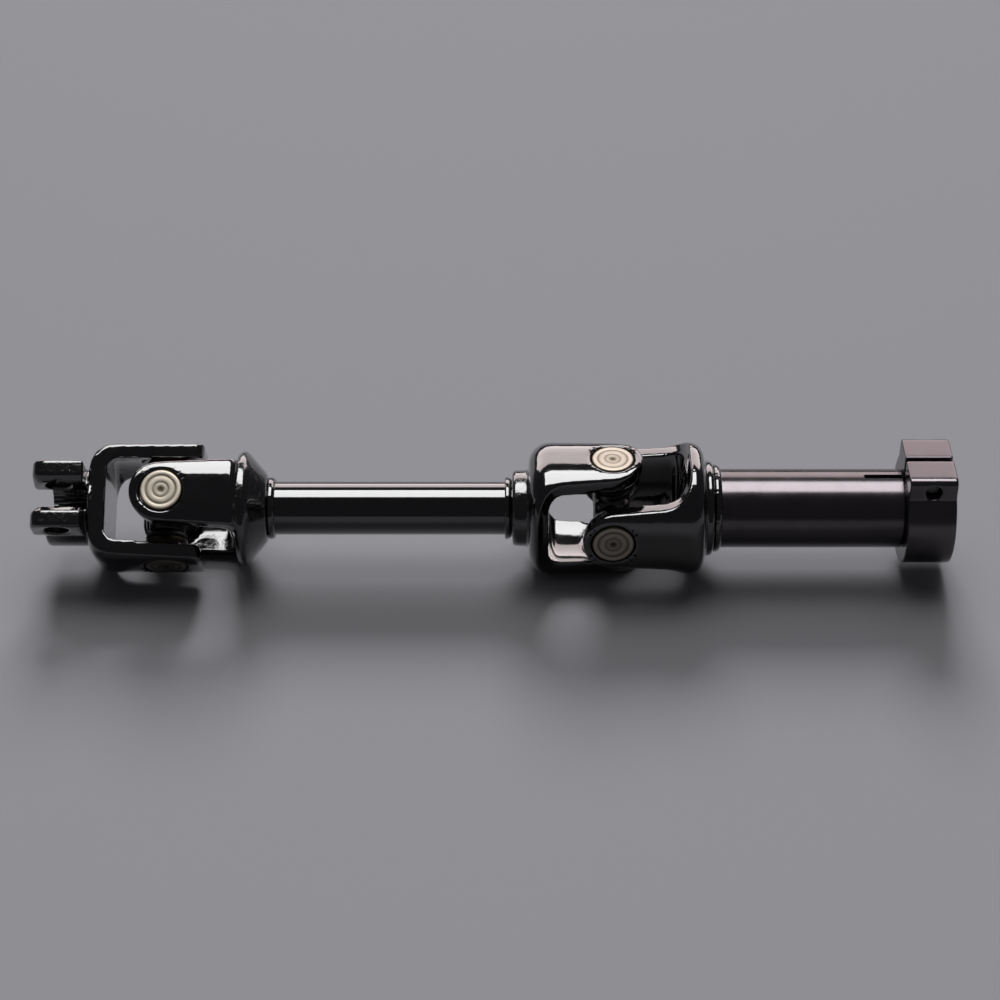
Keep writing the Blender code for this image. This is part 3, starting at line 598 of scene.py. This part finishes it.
def forged_yoke(throat, base_end, shoulder, plan, additions, cuts):
    """A yoke in its own frame, with its soft edges and the punch marks that came after."""
    yoke = as_object(section_block(base_end, shoulder))
    carve(yoke, plan, "INTERSECT")
    for bm in additions:
        carve(yoke, bm, "UNION")
    carve(yoke, crowned_slot(throat))
    for side in (-1, 1):
        # A boss reaches a third of the way into its arm, and its bore starts well inside the fork's opening.
        boss_ends = (side * (ARM_INNER - BOSS_HEIGHT), side * (ARM_INNER + ARM_THICKNESS / 3))
        carve(yoke, round_pin(BOSS_RADIUS, *boss_ends, "Z"), "UNION")
        carve(yoke, round_pin(CUP_SEAT, side * CUP_RADIUS, side * FAR, "Z"))
        carve(yoke, bore_mouth(side))
    for bm in cuts:
        carve(yoke, bm)
    softened(yoke, FORGING_VOXEL, FORGING_PASSES)
    for side in (-1, 1):
        carve(yoke, stake_marks(side))
    return yoke


# %% [markdown]
# Forging scale is left where no tool or hand smoothed the fork: on its base and its throat. A number at
# each vertex says how much there is, and the enamel reads it. In the throat it follows which way a face
# points, so that the arms' edges stay clean.

# %% Forging scale
SCALE_FADE = 1.0 * MM
THROAT_MARGIN = 0.2 * MM
FACING_START = 0.5
FACING_GAIN = 4.0


def scaled_beyond(yoke, start, throat=0.0):
    """Marks a yoke as scaled past this distance from its joint centre, and by this much in its throat."""
    scale = yoke.data.attributes.new("scale", "FLOAT", "POINT")
    for vertex, value in zip(yoke.data.vertices, scale.data):
        past = (vertex.co.x - start) / SCALE_FADE
        depth = (ARM_INNER - THROAT_MARGIN - abs(vertex.co.z)) / SCALE_FADE
        facing = max(-vertex.normal.x, -vertex.normal.z * math.copysign(1.0, vertex.co.z))
        inside = throat * min(depth, FACING_GAIN * (facing - FACING_START))
        value.value = min(1.0, max(0.0, past, inside))


def yoke_piece(yoke, name, body, cad_node, place):
    """Finishes a yoke in forged black enamel."""
    piece(yoke, name, body, [cad_node], forged_enamel, place, FORMED_CREASE)


# %% [markdown]
# ### The two yokes on the rod
# The left one has a ring flange and a cone that runs down to the rod. The right one has a plain round
# shoulder and a neck ring. Both have a blind seat for the rod's end.

# %% Flanged yoke
ROD_RADIUS = 9.5 * MM
ROD_PLAY = 0.1 * MM
ROD_SEAT = ROD_RADIUS + ROD_PLAY
SEAT_FLOOR = 3.3 * MM
FLANGE = (25.2 * MM, 30.0 * MM)
FLANGE_RADIUS = 20.4 * MM
FLANGE_EASE = 1.6 * MM
CONE_END = 36.0 * MM
CONE_TIP_RADIUS = 11.6 * MM
LEFT_THROAT = 23.2 * MM
cone = turned(
    [
        (FLANGE[0], 0.0),
        (FLANGE[0], FLANGE_RADIUS - FLANGE_EASE),
        (FLANGE[0] + FLANGE_EASE, FLANGE_RADIUS),
        (FLANGE[1] - FLANGE_EASE, FLANGE_RADIUS),
        (FLANGE[1], FLANGE_RADIUS - FLANGE_EASE),
        (CONE_END, CONE_TIP_RADIUS),
        (CONE_END, 0.0),
    ]
)
flanged_side = straight_side(waist=FLANGE[0] + ROOT, half=12.4 * MM)
flanged = forged_yoke(
    throat=LEFT_THROAT,
    base_end=FLANGE[0] + ROOT,
    shoulder=3.4 * MM,
    plan=arm_plan(end=11.3 * MM, end_half=10.2 * MM, end_round=10.1 * MM, sides=[flanged_side] * 2),
    additions=[cone],
    cuts=[round_pin(ROD_SEAT, LEFT_THROAT + SEAT_FLOOR, FAR, "X")],
)
scaled_beyond(flanged, start=FLANGE[0] - 0.5 * MM, throat=1.0)
yoke_piece(flanged, "flanged_yoke", "shaft", "shaft_yoke_left", placed(LEFT, ALONG, LEFT_SHAFT_ARMS))

# %% Shouldered yoke
NECK = (29.7 * MM, 35.4 * MM)
NECK_RADIUS = 13.6 * MM
NECK_EASE = 0.8 * MM
RIGHT_THROAT = 22.6 * MM
shouldered_side = flared_side(waist=17.0 * MM, half=12.8 * MM)
shouldered = forged_yoke(
    throat=RIGHT_THROAT,
    base_end=NECK[0],
    shoulder=8.0 * MM,
    plan=arm_plan(end=10.6 * MM, end_half=10.6 * MM, end_round=10.5 * MM, sides=[shouldered_side] * 2),
    additions=[turned(eased_disc(NECK[0] - ROOT, NECK[1], NECK_RADIUS, NECK_EASE))],
    cuts=[round_pin(ROD_SEAT, RIGHT_THROAT + SEAT_FLOOR, FAR, "X")],
)
scaled_beyond(shouldered, start=NECK[0])
shouldered_place = placed(RIGHT, -ALONG, RIGHT_SHAFT_ARMS)
yoke_piece(shouldered, "shouldered_yoke", "shaft", "shaft_yoke_right", shouldered_place)

# %% [markdown]
# ### The clamp yoke
# Its barrel is split along one side, with an ear on each lip. A bolt through the ears would close the slit
# on the gear's serrated shaft. The ears are prisms with their edges bevelled, cut open by the slit. The
# bore's serrations are broached last, by a toothed prism made from a circle whose every second corner is
# drawn in.

# %% Serrated cutter
def serrated_cutter(root, tip, low, high, teeth):
    """A toothed prism along X."""
    bm = bmesh.new()
    bmesh.ops.create_circle(bm, cap_ends=True, segments=2 * teeth, radius=root)
    bm.verts.ensure_lookup_table()
    bmesh.ops.scale(bm, verts=list(bm.verts)[::2], vec=(tip / root, tip / root, 1.0))
    turn = Matrix.Translation((low, 0, 0)) @ Matrix.Rotation(math.pi / 2, 4, "Y")
    bmesh.ops.transform(bm, matrix=turn, verts=bm.verts)
    pulled(bm, bm.faces[:], (high - low, 0.0, 0.0))
    return bm


# %% Clamp barrel
BARREL = (27.0 * MM, 42.5 * MM)
BARREL_RADIUS = 13.6 * MM
BARREL_EASE = 0.7 * MM
CLAMP_BORE = 8.9 * MM
SERRATION_TIP = 8.45 * MM
SERRATION_START = BARREL[0] + 0.3 * MM
PILOT_RADIUS = SERRATION_TIP - 0.1 * MM
CLAMP_TEETH = 36
SLIT_HALF = 4.3 * MM
barrel = turned(eased_disc(BARREL[0] - ROOT, BARREL[1], BARREL_RADIUS, BARREL_EASE))
slit_corners = [(BARREL[0], -SLIT_HALF), (FAR, -SLIT_HALF), (FAR, SLIT_HALF), (BARREL[0], SLIT_HALF)]
slit = prism(slit_corners, "Y", 0.0, FAR)
print("slit in mm:", round(2 * SLIT_HALF / MM, 1))

# %% Pinch ears
EAR = (28.2 * MM, 46.4 * MM)
EAR_THICKNESS = 8.1 * MM
EAR_FOOT = CLAMP_BORE - 2.0 * MM
EAR_HEIGHT = 18.5 * MM
EAR_ROUND = 4.2 * MM
EAR_INNER_EASE = 3.4 * MM
EAR_OUTER_EASE = 1.0 * MM
EAR_BOLT_RADIUS = 4.25 * MM
EAR_BOLT_PLACE = (EAR[1] - 9.2 * MM, 12.2 * MM, 0.0)


def pinch_ear(side):
    """An ear beside the slit, its far top corner round and its two top edges eased."""
    low, high = SLIT_HALF - ROOT, SLIT_HALF + EAR_THICKNESS
    corners = [(EAR[0], EAR_FOOT), (EAR[1], EAR_FOOT), (EAR[1], EAR_HEIGHT), (EAR[0], EAR_HEIGHT)]
    bm = prism(corners, "Z", min(side * low, side * high), max(side * low, side * high), {2: EAR_ROUND})
    for limit, ease, segments in ((low, EAR_INNER_EASE, 1), (high, EAR_OUTER_EASE, 3)):
        rim = []
        for edge in bm.edges:
            flat = all(abs(v.co.z - side * limit) < ON_PLANE for v in edge.verts)
            if flat and all(v.co.y > CLAMP_BORE for v in edge.verts):
                rim.append(edge)
        eased(bm, rim, ease, segments)
    return bm


# %% Clamp yoke
clamp_sides = [
    flared_side(waist=12.6 * MM, half=11.5 * MM),
    straight_side(waist=BARREL[0], half=12.8 * MM),
]
clamping = forged_yoke(
    throat=20.8 * MM,
    base_end=BARREL[0],
    shoulder=8.4 * MM,
    plan=arm_plan(end=13.0 * MM, end_half=9.5 * MM, end_round=3.6 * MM, sides=clamp_sides),
    additions=[barrel, pinch_ear(1), pinch_ear(-1)],
    cuts=[
        slit,
        round_pin(PILOT_RADIUS, BARREL[0], FAR, "X", steps=2 * CLAMP_TEETH),
        round_pin(EAR_BOLT_RADIUS, -FAR, FAR, "Z", EAR_BOLT_PLACE),
    ],
)
carve(clamping, serrated_cutter(CLAMP_BORE, SERRATION_TIP, SERRATION_START, FAR, CLAMP_TEETH))
scaled_beyond(clamping, start=BARREL[0] + 1.0 * MM, throat=1.0)
yoke_piece(clamping, "clamping_yoke", "clamp", "clamp_yoke", placed(LEFT, -ALONG, LEFT_CLAMP_ARMS))

# %% [markdown]
# ### The sleeve's yoke
# This one ends in a neck ring, and a hollow stem that plugs the sleeve.

# %% Ringed yoke
RING = (32.8 * MM, 36.0 * MM)
RING_RADIUS = 17.0 * MM
RING_EASE = 0.8 * MM
STEM_RADIUS = 10.5 * MM
STEM_WALL = 3.0 * MM
STEM_END = 47.0 * MM
ring = turned(
    [
        (RING[0] - ROOT, 0.0),
        (RING[0] - ROOT, RING_RADIUS),
        (RING[1] - RING_EASE, RING_RADIUS),
        (RING[1], RING_RADIUS - RING_EASE),
        (RING[1], STEM_RADIUS),
        (STEM_END, STEM_RADIUS),
        (STEM_END, 0.0),
    ]
)
ringed_side = flared_side(waist=17.5 * MM, half=12.8 * MM)
ringed = forged_yoke(
    throat=25.4 * MM,
    base_end=RING[0],
    shoulder=4.9 * MM,
    plan=arm_plan(end=10.6 * MM, end_half=10.6 * MM, end_round=10.5 * MM, sides=[ringed_side] * 2),
    additions=[ring],
    cuts=[round_pin(STEM_RADIUS - STEM_WALL, RING[0], FAR, "X")],
)
yoke_piece(ringed, "ringed_yoke", "socket", "sleeve_yoke", placed(RIGHT, ALONG, RIGHT_SLEEVE_ARMS))

# %% [markdown]
# ## The rod and the weld beads
# The rod is drawn bar, so it is a plain spin with eased ends. A weld bead is a row of overlapping drops
# laid one after another. Small spheres, squashed and turned about the rod, are joined by a fine remesh.

# %% Rod
ROD_EASE = 0.5 * MM
ROD_GAP = 0.3 * MM
rod_low = LEFT.x + LEFT_THROAT + SEAT_FLOOR + ROD_GAP
rod_high = RIGHT.x - RIGHT_THROAT - SEAT_FLOOR - ROD_GAP
rod = turned(
    [
        (rod_low, 0.0),
        (rod_low, ROD_RADIUS - ROD_EASE),
        (rod_low + ROD_EASE, ROD_RADIUS),
        (rod_high - ROD_EASE, ROD_RADIUS),
        (rod_high, ROD_RADIUS - ROD_EASE),
        (rod_high, 0.0),
    ],
    FINE_STEPS,
)
axis_place = Matrix.Translation((0.0, 0.0, LEFT.z))
piece(
    as_object(rod), "drawn_rod", "shaft", ["shaft_rod"],
    drawn_enamel, axis_place, TURNED_CREASE,
)

# %% Weld beads
WELD_DROP = 1.5 * MM
DROP_LEAN = 0.5
DROP_SQUASH = (1.0, 1.5, 0.62, 1.0)
WELD_VOXEL = 0.3 * MM
WELD_PASSES = 6
ROD_WELD_RADIUS = ROD_RADIUS + 0.6 * MM
SLEEVE_WELD_RADIUS = 14.6 * MM


def weld_bead(radius, drops):
    """A ring of squashed drops round X at this radius."""
    bm = bmesh.new()
    for i in range(drops):
        made = bmesh.ops.create_uvsphere(bm, u_segments=12, v_segments=8, radius=WELD_DROP)
        angle = 2 * math.pi * i / drops
        lean = Matrix.Rotation(DROP_LEAN, 4, "Y") @ Matrix.Diagonal(DROP_SQUASH)
        place = Matrix.Rotation(angle, 4, "X") @ Matrix.Translation((0.0, 0.0, radius)) @ lean
        bmesh.ops.transform(bm, matrix=place, verts=made["verts"])
    return softened(as_object(bm), WELD_VOXEL, WELD_PASSES)


welds = {
    "weld_ripples_left": ("weld_left", "shaft", ROD_WELD_RADIUS, 36),
    "weld_ripples_right": ("weld_right", "shaft", ROD_WELD_RADIUS, 36),
    "weld_ripples_sleeve": ("weld_sleeve", "socket", SLEEVE_WELD_RADIUS, 52),
}
for name, (cad_node, body, radius, drops) in welds.items():
    low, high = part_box(cad_node)
    centre = Matrix.Translation(((low[0] + high[0]) / 2, 0.0, LEFT.z))
    piece(weld_bead(radius, drops), name, body, [cad_node], forged_enamel, centre)

# %% [markdown]
# ## Cups, needles, seals and crosses
# One bearing is drawn once along X and turned to each of a joint's four arms. The cup's face has the
# shallow rings that its press tool leaves, and their grooves get a painted shade, darker the deeper they
# lie, so each vertex keeps how deep it lies. A subdivision rounds the spun profile, and each needle is its
# own small roller.

# %% Bearing cup
CUP_FACE = 21.8 * MM
CUP_MOUTH = 12.2 * MM
CUP_BORE = 6.5 * MM
CUP_FLOOR = 20.6 * MM
CUP_FLOOR_EASE = 0.4 * MM
CUP_MOUTH_EASE = 0.2 * MM
CUP_CENTRE_DEPTH = 0.28 * MM
OIL_DEPTH = 0.2 * MM
# The cup's edge and the rings of its face, as (radius, depth) in millimetres, from the outside inwards.
CUP_FACE_RINGS = [
    (7.5, 0.9), (7.45, 0.4), (7.1, 0.1), (6.6, 0.0),
    (5.7, 0.02), (5.45, 0.16), (5.0, 0.18), (4.75, 0.05),
    (3.2, 0.02), (2.95, 0.14), (2.5, 0.16), (2.2, 0.06),
    (1.1, 0.1), (0.7, 0.25),
]


def bearing_cup():
    """A drawn cup along X, open towards the joint centre."""
    profile = [
        (CUP_FLOOR, 0.0),
        (CUP_FLOOR, CUP_BORE - CUP_FLOOR_EASE),
        (CUP_FLOOR - CUP_FLOOR_EASE, CUP_BORE),
        (CUP_MOUTH + CUP_MOUTH_EASE, CUP_BORE),
        (CUP_MOUTH, CUP_BORE + CUP_MOUTH_EASE),
        (CUP_MOUTH, CUP_RADIUS - CUP_MOUTH_EASE),
        (CUP_MOUTH + CUP_MOUTH_EASE, CUP_RADIUS),
    ]
    profile += [(CUP_FACE - depth * MM, radius * MM) for radius, depth in CUP_FACE_RINGS]
    profile.append((CUP_FACE - CUP_CENTRE_DEPTH, 0.0))
    cup = subdivided(as_object(turned(profile, PIN_STEPS)))
    # Painted shade: each vertex keeps its depth in the face's grooves, and the deeper ones take the darker
    # colour.
    groove = cup.data.attributes.new("groove", "FLOAT", "POINT")
    for vertex, value in zip(cup.data.vertices, groove.data):
        value.value = min(1.0, max(0.0, (CUP_FACE - vertex.co.x) / OIL_DEPTH))
    return cup


# %% Needles
NEEDLE_RADIUS = 0.95 * MM
NEEDLE_PLAY = 0.3 * MM
NEEDLE_RING = CUP_BORE - NEEDLE_PLAY - NEEDLE_RADIUS
NEEDLE_ENDS = (13.4 * MM, 20.3 * MM)
NEEDLE_COUNT = int(math.pi * NEEDLE_RING / NEEDLE_RADIUS)


def needle_ring():
    """The rollers of one cup."""
    bm = bmesh.new()
    for i in range(NEEDLE_COUNT):
        made = bmesh.ops.create_cone(
            bm,
            cap_ends=True,
            segments=10,
            radius1=NEEDLE_RADIUS,
            radius2=NEEDLE_RADIUS,
            depth=NEEDLE_ENDS[1] - NEEDLE_ENDS[0],
        )
        middle = sum(NEEDLE_ENDS) / 2
        turn = Matrix.Rotation(2 * math.pi * i / NEEDLE_COUNT, 4, "X")
        place = turn @ Matrix.Translation((middle, 0.0, NEEDLE_RING)) @ Matrix.Rotation(math.pi / 2, 4, "Y")
        bmesh.ops.transform(bm, matrix=place, verts=made["verts"])
    return as_object(bm)


print("needles in a cup:", NEEDLE_COUNT)

# %% Lip seal
# The seal's section, as (distance from the joint centre, radius) in millimetres.
SEAL_PROFILE = [
    (9.7, 4.2), (9.7, 6.2), (10.3, 7.0), (11.2, 7.45), (11.8, 7.4),
    (11.9, 7.0), (11.9, 6.25), (13.0, 6.1), (13.1, 5.6), (13.1, 4.2),
]


def lip_seal():
    """A rubber ring on the trunnion's root, with a rounded flange and a lip in the cup's mouth."""
    profile = [(x * MM, radius * MM) for x, radius in SEAL_PROFILE]
    return subdivided(as_object(turned(profile, PIN_STEPS)))


# %% Cross
HUB_SIZE = (12.4 * MM, 14.8 * MM, 14.8 * MM)
HUB_ROUND = 2.0 * MM
CROSS_VOXEL = 0.4 * MM
CROSS_PASSES = 3
# One stepped trunnion, as (distance from the joint centre, radius) in millimetres, from its tip inwards.
TRUNNION_STEPS = [(20.3, 0.0), (20.3, 3.4), (19.7, 4.0), (9.4, 4.0), (9.4, 6.0), (9.0, 6.4)]


def forged_cross():
    """Four stepped trunnions on a bevelled hub, softened as a forging."""
    hub = bmesh.new()
    bmesh.ops.create_cube(hub, size=1.0, matrix=Matrix.Diagonal((*HUB_SIZE, 1.0)))
    eased(hub, list(hub.edges), HUB_ROUND, segments=4)
    cross = as_object(hub)
    profile = [(x * MM, radius * MM) for x, radius in TRUNNION_STEPS]
    profile += [(-x, radius) for x, radius in reversed(profile)]
    for about in ("Z", "Y"):
        bm = turned(profile, PIN_STEPS)
        turn = Matrix.Rotation(math.pi / 2, 3, about)
        bmesh.ops.rotate(bm, verts=bm.verts, cent=(0, 0, 0), matrix=turn)
        carve(cross, bm, "UNION")
    return softened(cross, CROSS_VOXEL, CROSS_PASSES)


# %% Fit both joints
def fit_joint(side, centre, z_arms, y_arms, z_body, y_body, cross_body):
    """Places one joint's cross and its four bearings, numbered as the CAD nodes are."""
    place = placed(centre, ALONG, z_arms)
    cross_name = f"trunnion_cross_{side}"
    piece(forged_cross(), cross_name, cross_body, [f"cross_{side}"], cross_steel, place)
    arms = ((z_arms, z_body), (y_arms, y_body), (-z_arms, z_body), (-y_arms, y_body))
    for number, (arm, body) in enumerate(arms, 1):
        place = placed(centre, arm, ALONG)
        tag = f"{side}_{number}"
        piece(
            bearing_cup(), f"bearing_cup_{tag}", body, [f"cup_{tag}"],
            cup_steel, place, FORMED_CREASE,
        )
        piece(
            needle_ring(), f"needle_rollers_{tag}", body, [f"needles_{tag}"],
            needle_steel, place, ROLLER_CREASE,
        )
        piece(lip_seal(), f"lip_seal_{tag}", cross_body, [f"seal_{tag}"], nitrile, place)


fit_joint("left", LEFT, LEFT_SHAFT_ARMS, LEFT_CLAMP_ARMS, "shaft", "clamp", "left_cross")
fit_joint("right", RIGHT, RIGHT_SHAFT_ARMS, RIGHT_SLEEVE_ARMS, "shaft", "socket", "right_cross")

# %% [markdown]
# ## The sleeve, its collar and the pinch bolt
# The sleeve is a turned tube with a step for the collar and a slot on top, so that it can close, and its
# socket is serrated too. The collar is a ring with a square boss, sawn through where the bolt pulls it
# together.

# %% Slotted sleeve
SLEEVE_LOW, SLEEVE_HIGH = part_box("sleeve")
COLLAR_LOW, COLLAR_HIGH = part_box("clamp_collar")
SLEEVE_RADIUS = 14.0 * MM
SLEEVE_BORE = 10.8 * MM
STEP_EASE = 0.4 * MM
SEAT_RADIUS = 12.9 * MM
SEAT_EASE = 0.5 * MM
SOCKET_RADIUS = 9.5 * MM
SOCKET_CHAMFER = 0.9 * MM
SOCKET_DEPTH = 44.0 * MM
COLLAR_GAP = 0.3 * MM
step = COLLAR_LOW[0] - COLLAR_GAP
socket_floor = SLEEVE_HIGH[0] - SOCKET_DEPTH
tube = turned(
    [
        (SLEEVE_LOW[0], SLEEVE_BORE),
        (SLEEVE_LOW[0], SLEEVE_RADIUS),
        (step - STEP_EASE, SLEEVE_RADIUS),
        (step, SLEEVE_RADIUS - STEP_EASE),
        (step, SEAT_RADIUS),
        (SLEEVE_HIGH[0] - SEAT_EASE, SEAT_RADIUS),
        (SLEEVE_HIGH[0], SEAT_RADIUS - SEAT_EASE),
        (SLEEVE_HIGH[0], SOCKET_RADIUS + SOCKET_CHAMFER),
        (SLEEVE_HIGH[0] - SOCKET_CHAMFER, SOCKET_RADIUS),
        (socket_floor, SOCKET_RADIUS),
        (socket_floor, SLEEVE_BORE),
    ],
    FINE_STEPS,
)
sleeve = as_object(tube)
print("sleeve in mm:", round((SLEEVE_HIGH[0] - SLEEVE_LOW[0]) / MM, 1))

# %% Slot and socket serrations
SLOT_LENGTH = 31.2 * MM
SLOT_HALF = 1.1 * MM
# The slot's end is a little short of a half circle, because the two bevels that round it can't quite meet.
SLOT_ROUND = SLOT_HALF * 0.98
SOCKET_TEETH = 40
SOCKET_ROOT = SOCKET_RADIUS + 0.55 * MM
SOCKET_TIP = SOCKET_RADIUS - 0.1 * MM
slot_low, slot_high = SLEEVE_HIGH[0] - SLOT_LENGTH, SLEEVE_HIGH[0] + MM
slot = [(slot_low, -SLOT_HALF), (slot_high, -SLOT_HALF), (slot_high, SLOT_HALF), (slot_low, SLOT_HALF)]
carve(sleeve, prism(slot, "Z", 0.0, FAR, {0: SLOT_ROUND, 3: SLOT_ROUND}))
carve(sleeve, serrated_cutter(SOCKET_ROOT, SOCKET_TIP, socket_floor - MM, SLEEVE_HIGH[0] + MM, SOCKET_TEETH))
piece(
    sleeve, "slotted_sleeve", "socket", ["sleeve"],
    sleeve_phosphate, axis_place, TURNED_CREASE,
)

# %% Split collar
COLLAR_RADIUS = 19.4 * MM
COLLAR_BORE = 13.2 * MM
COLLAR_VOXEL = 0.35 * MM
COLLAR_PASSES = 14
BOSS_HALF = 14.0 * MM
BOSS_FOOT = 8.0 * MM
BOSS_TOP = 21.5 * MM
BOSS_ROUND = 2.6 * MM
BOSS_INSET = 0.03 * MM
SAW_HALF = 1.0 * MM
BOLT_Z = 16.5 * MM
BOLT_RADIUS = 2.5 * MM
HEAD_RADIUS = 4.1 * MM
HEAD_TOP = 13.5 * MM
HEAD_SEAT = 8.3 * MM
HOLE_PLAY = 0.3 * MM
POCKET_PLAY = 0.2 * MM
# The collar is cut along X in its place on the shaft, so its cuts run to past the shaft's end.
PAST_END = 0.5
bolt_x = (COLLAR_LOW[0] + COLLAR_HIGH[0]) / 2
collar = as_object(round_pin(COLLAR_RADIUS, COLLAR_LOW[0], COLLAR_HIGH[0], "X", steps=TURN_STEPS))
boss_ends = (COLLAR_LOW[0] + BOSS_INSET, COLLAR_HIGH[0] - BOSS_INSET)
boss = [(-BOSS_HALF, BOSS_FOOT), (BOSS_HALF, BOSS_FOOT), (BOSS_HALF, BOSS_TOP), (-BOSS_HALF, BOSS_TOP)]
carve(collar, prism(boss, "X", *boss_ends, {2: BOSS_ROUND, 3: BOSS_ROUND}), "UNION")
saw = [(0.0, -SAW_HALF), (PAST_END, -SAW_HALF), (PAST_END, SAW_HALF), (0.0, SAW_HALF)]
carve(collar, prism(saw, "Z", 0.0, FAR))
carve(collar, round_pin(COLLAR_BORE, 0.0, PAST_END, "X", steps=TURN_STEPS))
bolt_axis = (bolt_x, 0.0, BOLT_Z)
carve(collar, round_pin(BOLT_RADIUS + HOLE_PLAY, -FAR, FAR, "Y", bolt_axis))
carve(collar, round_pin(HEAD_RADIUS + HOLE_PLAY, HEAD_SEAT - POCKET_PLAY, FAR, "Y", bolt_axis))
softened(collar, COLLAR_VOXEL, COLLAR_PASSES)
piece(collar, "split_collar", "socket", ["clamp_collar"], collar_phosphate, axis_place)

# %% Pinch bolt
BOLT_EASE = 0.5 * MM
HEAD_EASE = 0.2 * MM
HEX_RADIUS = 2.3 * MM
HEX_DEPTH = 2.6 * MM
TIP_INSET = 3.0 * MM
tip = TIP_INSET - BOSS_HALF
bolt = turned(
    [
        (tip, 0.0),
        (tip, BOLT_RADIUS - BOLT_EASE),
        (tip + BOLT_EASE, BOLT_RADIUS),
        (HEAD_SEAT, BOLT_RADIUS),
        (HEAD_SEAT, HEAD_RADIUS - HEAD_EASE),
        (HEAD_SEAT + HEAD_EASE, HEAD_RADIUS),
        (HEAD_TOP - BOLT_EASE, HEAD_RADIUS),
        (HEAD_TOP, HEAD_RADIUS - BOLT_EASE),
        (HEAD_TOP, 0.0),
    ],
    PIN_STEPS,
)
pinch = as_object(bolt)
carve(pinch, round_pin(HEX_RADIUS, HEAD_TOP - HEX_DEPTH, FAR, "X", steps=6))
bolt_place = Matrix.Translation((bolt_x, 0.0, LEFT.z + BOLT_Z)) @ Matrix.Rotation(math.pi / 2, 4, "Z")
piece(
    pinch, "socket_head_bolt", "socket", ["pinch_bolt"],
    cross_steel, bolt_place, TURNED_CREASE,
)

# %% [markdown]
# ## Floor, lamps and camera
# The floor is a plain sheet of pale grey paper. A long softbox overhead gives each round surface one clean
# band of light, and a wide dim panel at the back draws a second, fainter one. They only show in
# reflections. What lights the paper is a low window behind the part and a wide skylight above it, which lay
# the long soft shadow. The paper's fibres are finer than the render shows, so they are drawn 2 mm wide.

# %% Floor
FLOOR_HALF = 4.0
FIBRE_SIZE = 2.0
FIBRE_HEIGHT = 0.05 * MM
floor_bm = bmesh.new()
bmesh.ops.create_grid(floor_bm, x_segments=1, y_segments=1, size=FLOOR_HALF)
floor = as_object(floor_bm, "paper_sheet")
floor.data.shade_smooth()
paper, paper_sockets, paper_place = new_finish("matt_paper", Base_Color=linear("#8E8E93"), Roughness=0.9)
fibre_pattern = {"Vector": paper_place, "Scale": per_size(FIBRE_SIZE), "Detail": 3.0}
fibres = node(paper, NOISE, fibre_pattern).outputs["Fac"]
fibre_lift = {"Height": fibres, "Distance": FIBRE_HEIGHT, "Strength": 0.3}
node(paper, BUMP, fibre_lift, ("Normal", paper_sockets["Normal"]))
floor.data.materials.append(paper)
print("floor in m:", 2 * FLOOR_HALF)


# %% Lamps for the reflections
def soft_lamp(name, place, target, size, radiance, colour):
    """A rectangular lamp that looks equally bright all over: its power follows from its radiance."""
    data = bpy.data.lights.new(name, "AREA")
    data.shape = "RECTANGLE"
    data.size, data.size_y = size
    data.energy = radiance * math.pi * size[0] * size[1]
    data.color = linear(colour)[:3]
    lamp = bpy.data.objects.new(name, data)
    lamp.location = place
    lamp.rotation_euler = (Vector(target) - Vector(place)).to_track_quat("-Z", "Y").to_euler()
    lamp.visible_diffuse = False
    bpy.context.scene.collection.objects.link(lamp)
    print(f"{name}: {data.energy:.1f} W")


soft_lamp("softbox", (0.0, 0.23, 0.95), (0.0, 0.23, 0.0), size=(0.9, 0.62), radiance=8.7, colour="#FFFFFF")
soft_lamp("back_panel", (0.0, 1.35, 0.69), (0.0, 0.0, 0.02), size=(2.4, 0.77), radiance=3.1, colour="#FFF1F0")


# %% Window light and room
def window_light(name, elevation, spread, energy):
    """Light from behind that only falls on the paper and isn't mirrored in the paint."""
    data = bpy.data.lights.new(name, "SUN")
    data.energy = energy
    data.angle = math.radians(spread)
    window = bpy.data.objects.new(name, data)
    falling = Vector((0.0, -1.0, -math.tan(math.radians(elevation))))
    window.rotation_euler = falling.to_track_quat("-Z", "Y").to_euler()
    window.visible_glossy = False
    bpy.context.scene.collection.objects.link(window)
    print(f"{name}: {elevation} degrees high")


window_light("low_window", elevation=31.0, spread=22.0, energy=3.5)
window_light("skylight", elevation=63.0, spread=44.0, energy=0.9)

ROOM_STRENGTH = 0.3
world = bpy.data.worlds.new("dim_room")
bpy.context.scene.world = world
world.use_nodes = True
room = world.node_tree.nodes["Background"].inputs
room["Color"].default_value = linear("#7A7A80")
room["Strength"].default_value = ROOM_STRENGTH

# %% [markdown]
# The camera stands where the photographer's did: straight in front of the shaft's length and about 36
# degrees above it. It aims a little to the right of the shaft's middle and a little above it in the picture.

# %% Camera
ELEVATION = math.radians(36.3)
DISTANCE = 0.893
LENS = 90.0
SENSOR = 36.0
AIM_RIGHT = 2.5 * MM
AIM_UP = 2.9 * MM
picture_up = Vector((0.0, math.sin(ELEVATION), math.cos(ELEVATION)))
aim = Vector((AIM_RIGHT, 0.0, LEFT.z)) + picture_up * AIM_UP
camera_data = bpy.data.cameras.new("camera")
camera_data.lens = LENS
camera_data.sensor_width = SENSOR
camera = bpy.data.objects.new("camera", camera_data)
camera.location = aim + Vector((0.0, -math.cos(ELEVATION), math.sin(ELEVATION))) * DISTANCE
camera.rotation_euler = (aim - camera.location).to_track_quat("-Z", "Y").to_euler()
bpy.context.scene.collection.objects.link(camera)
bpy.context.scene.camera = camera
bpy.context.scene.view_settings.view_transform = "Standard"
print("camera in m:", [round(x, 3) for x in camera.location])
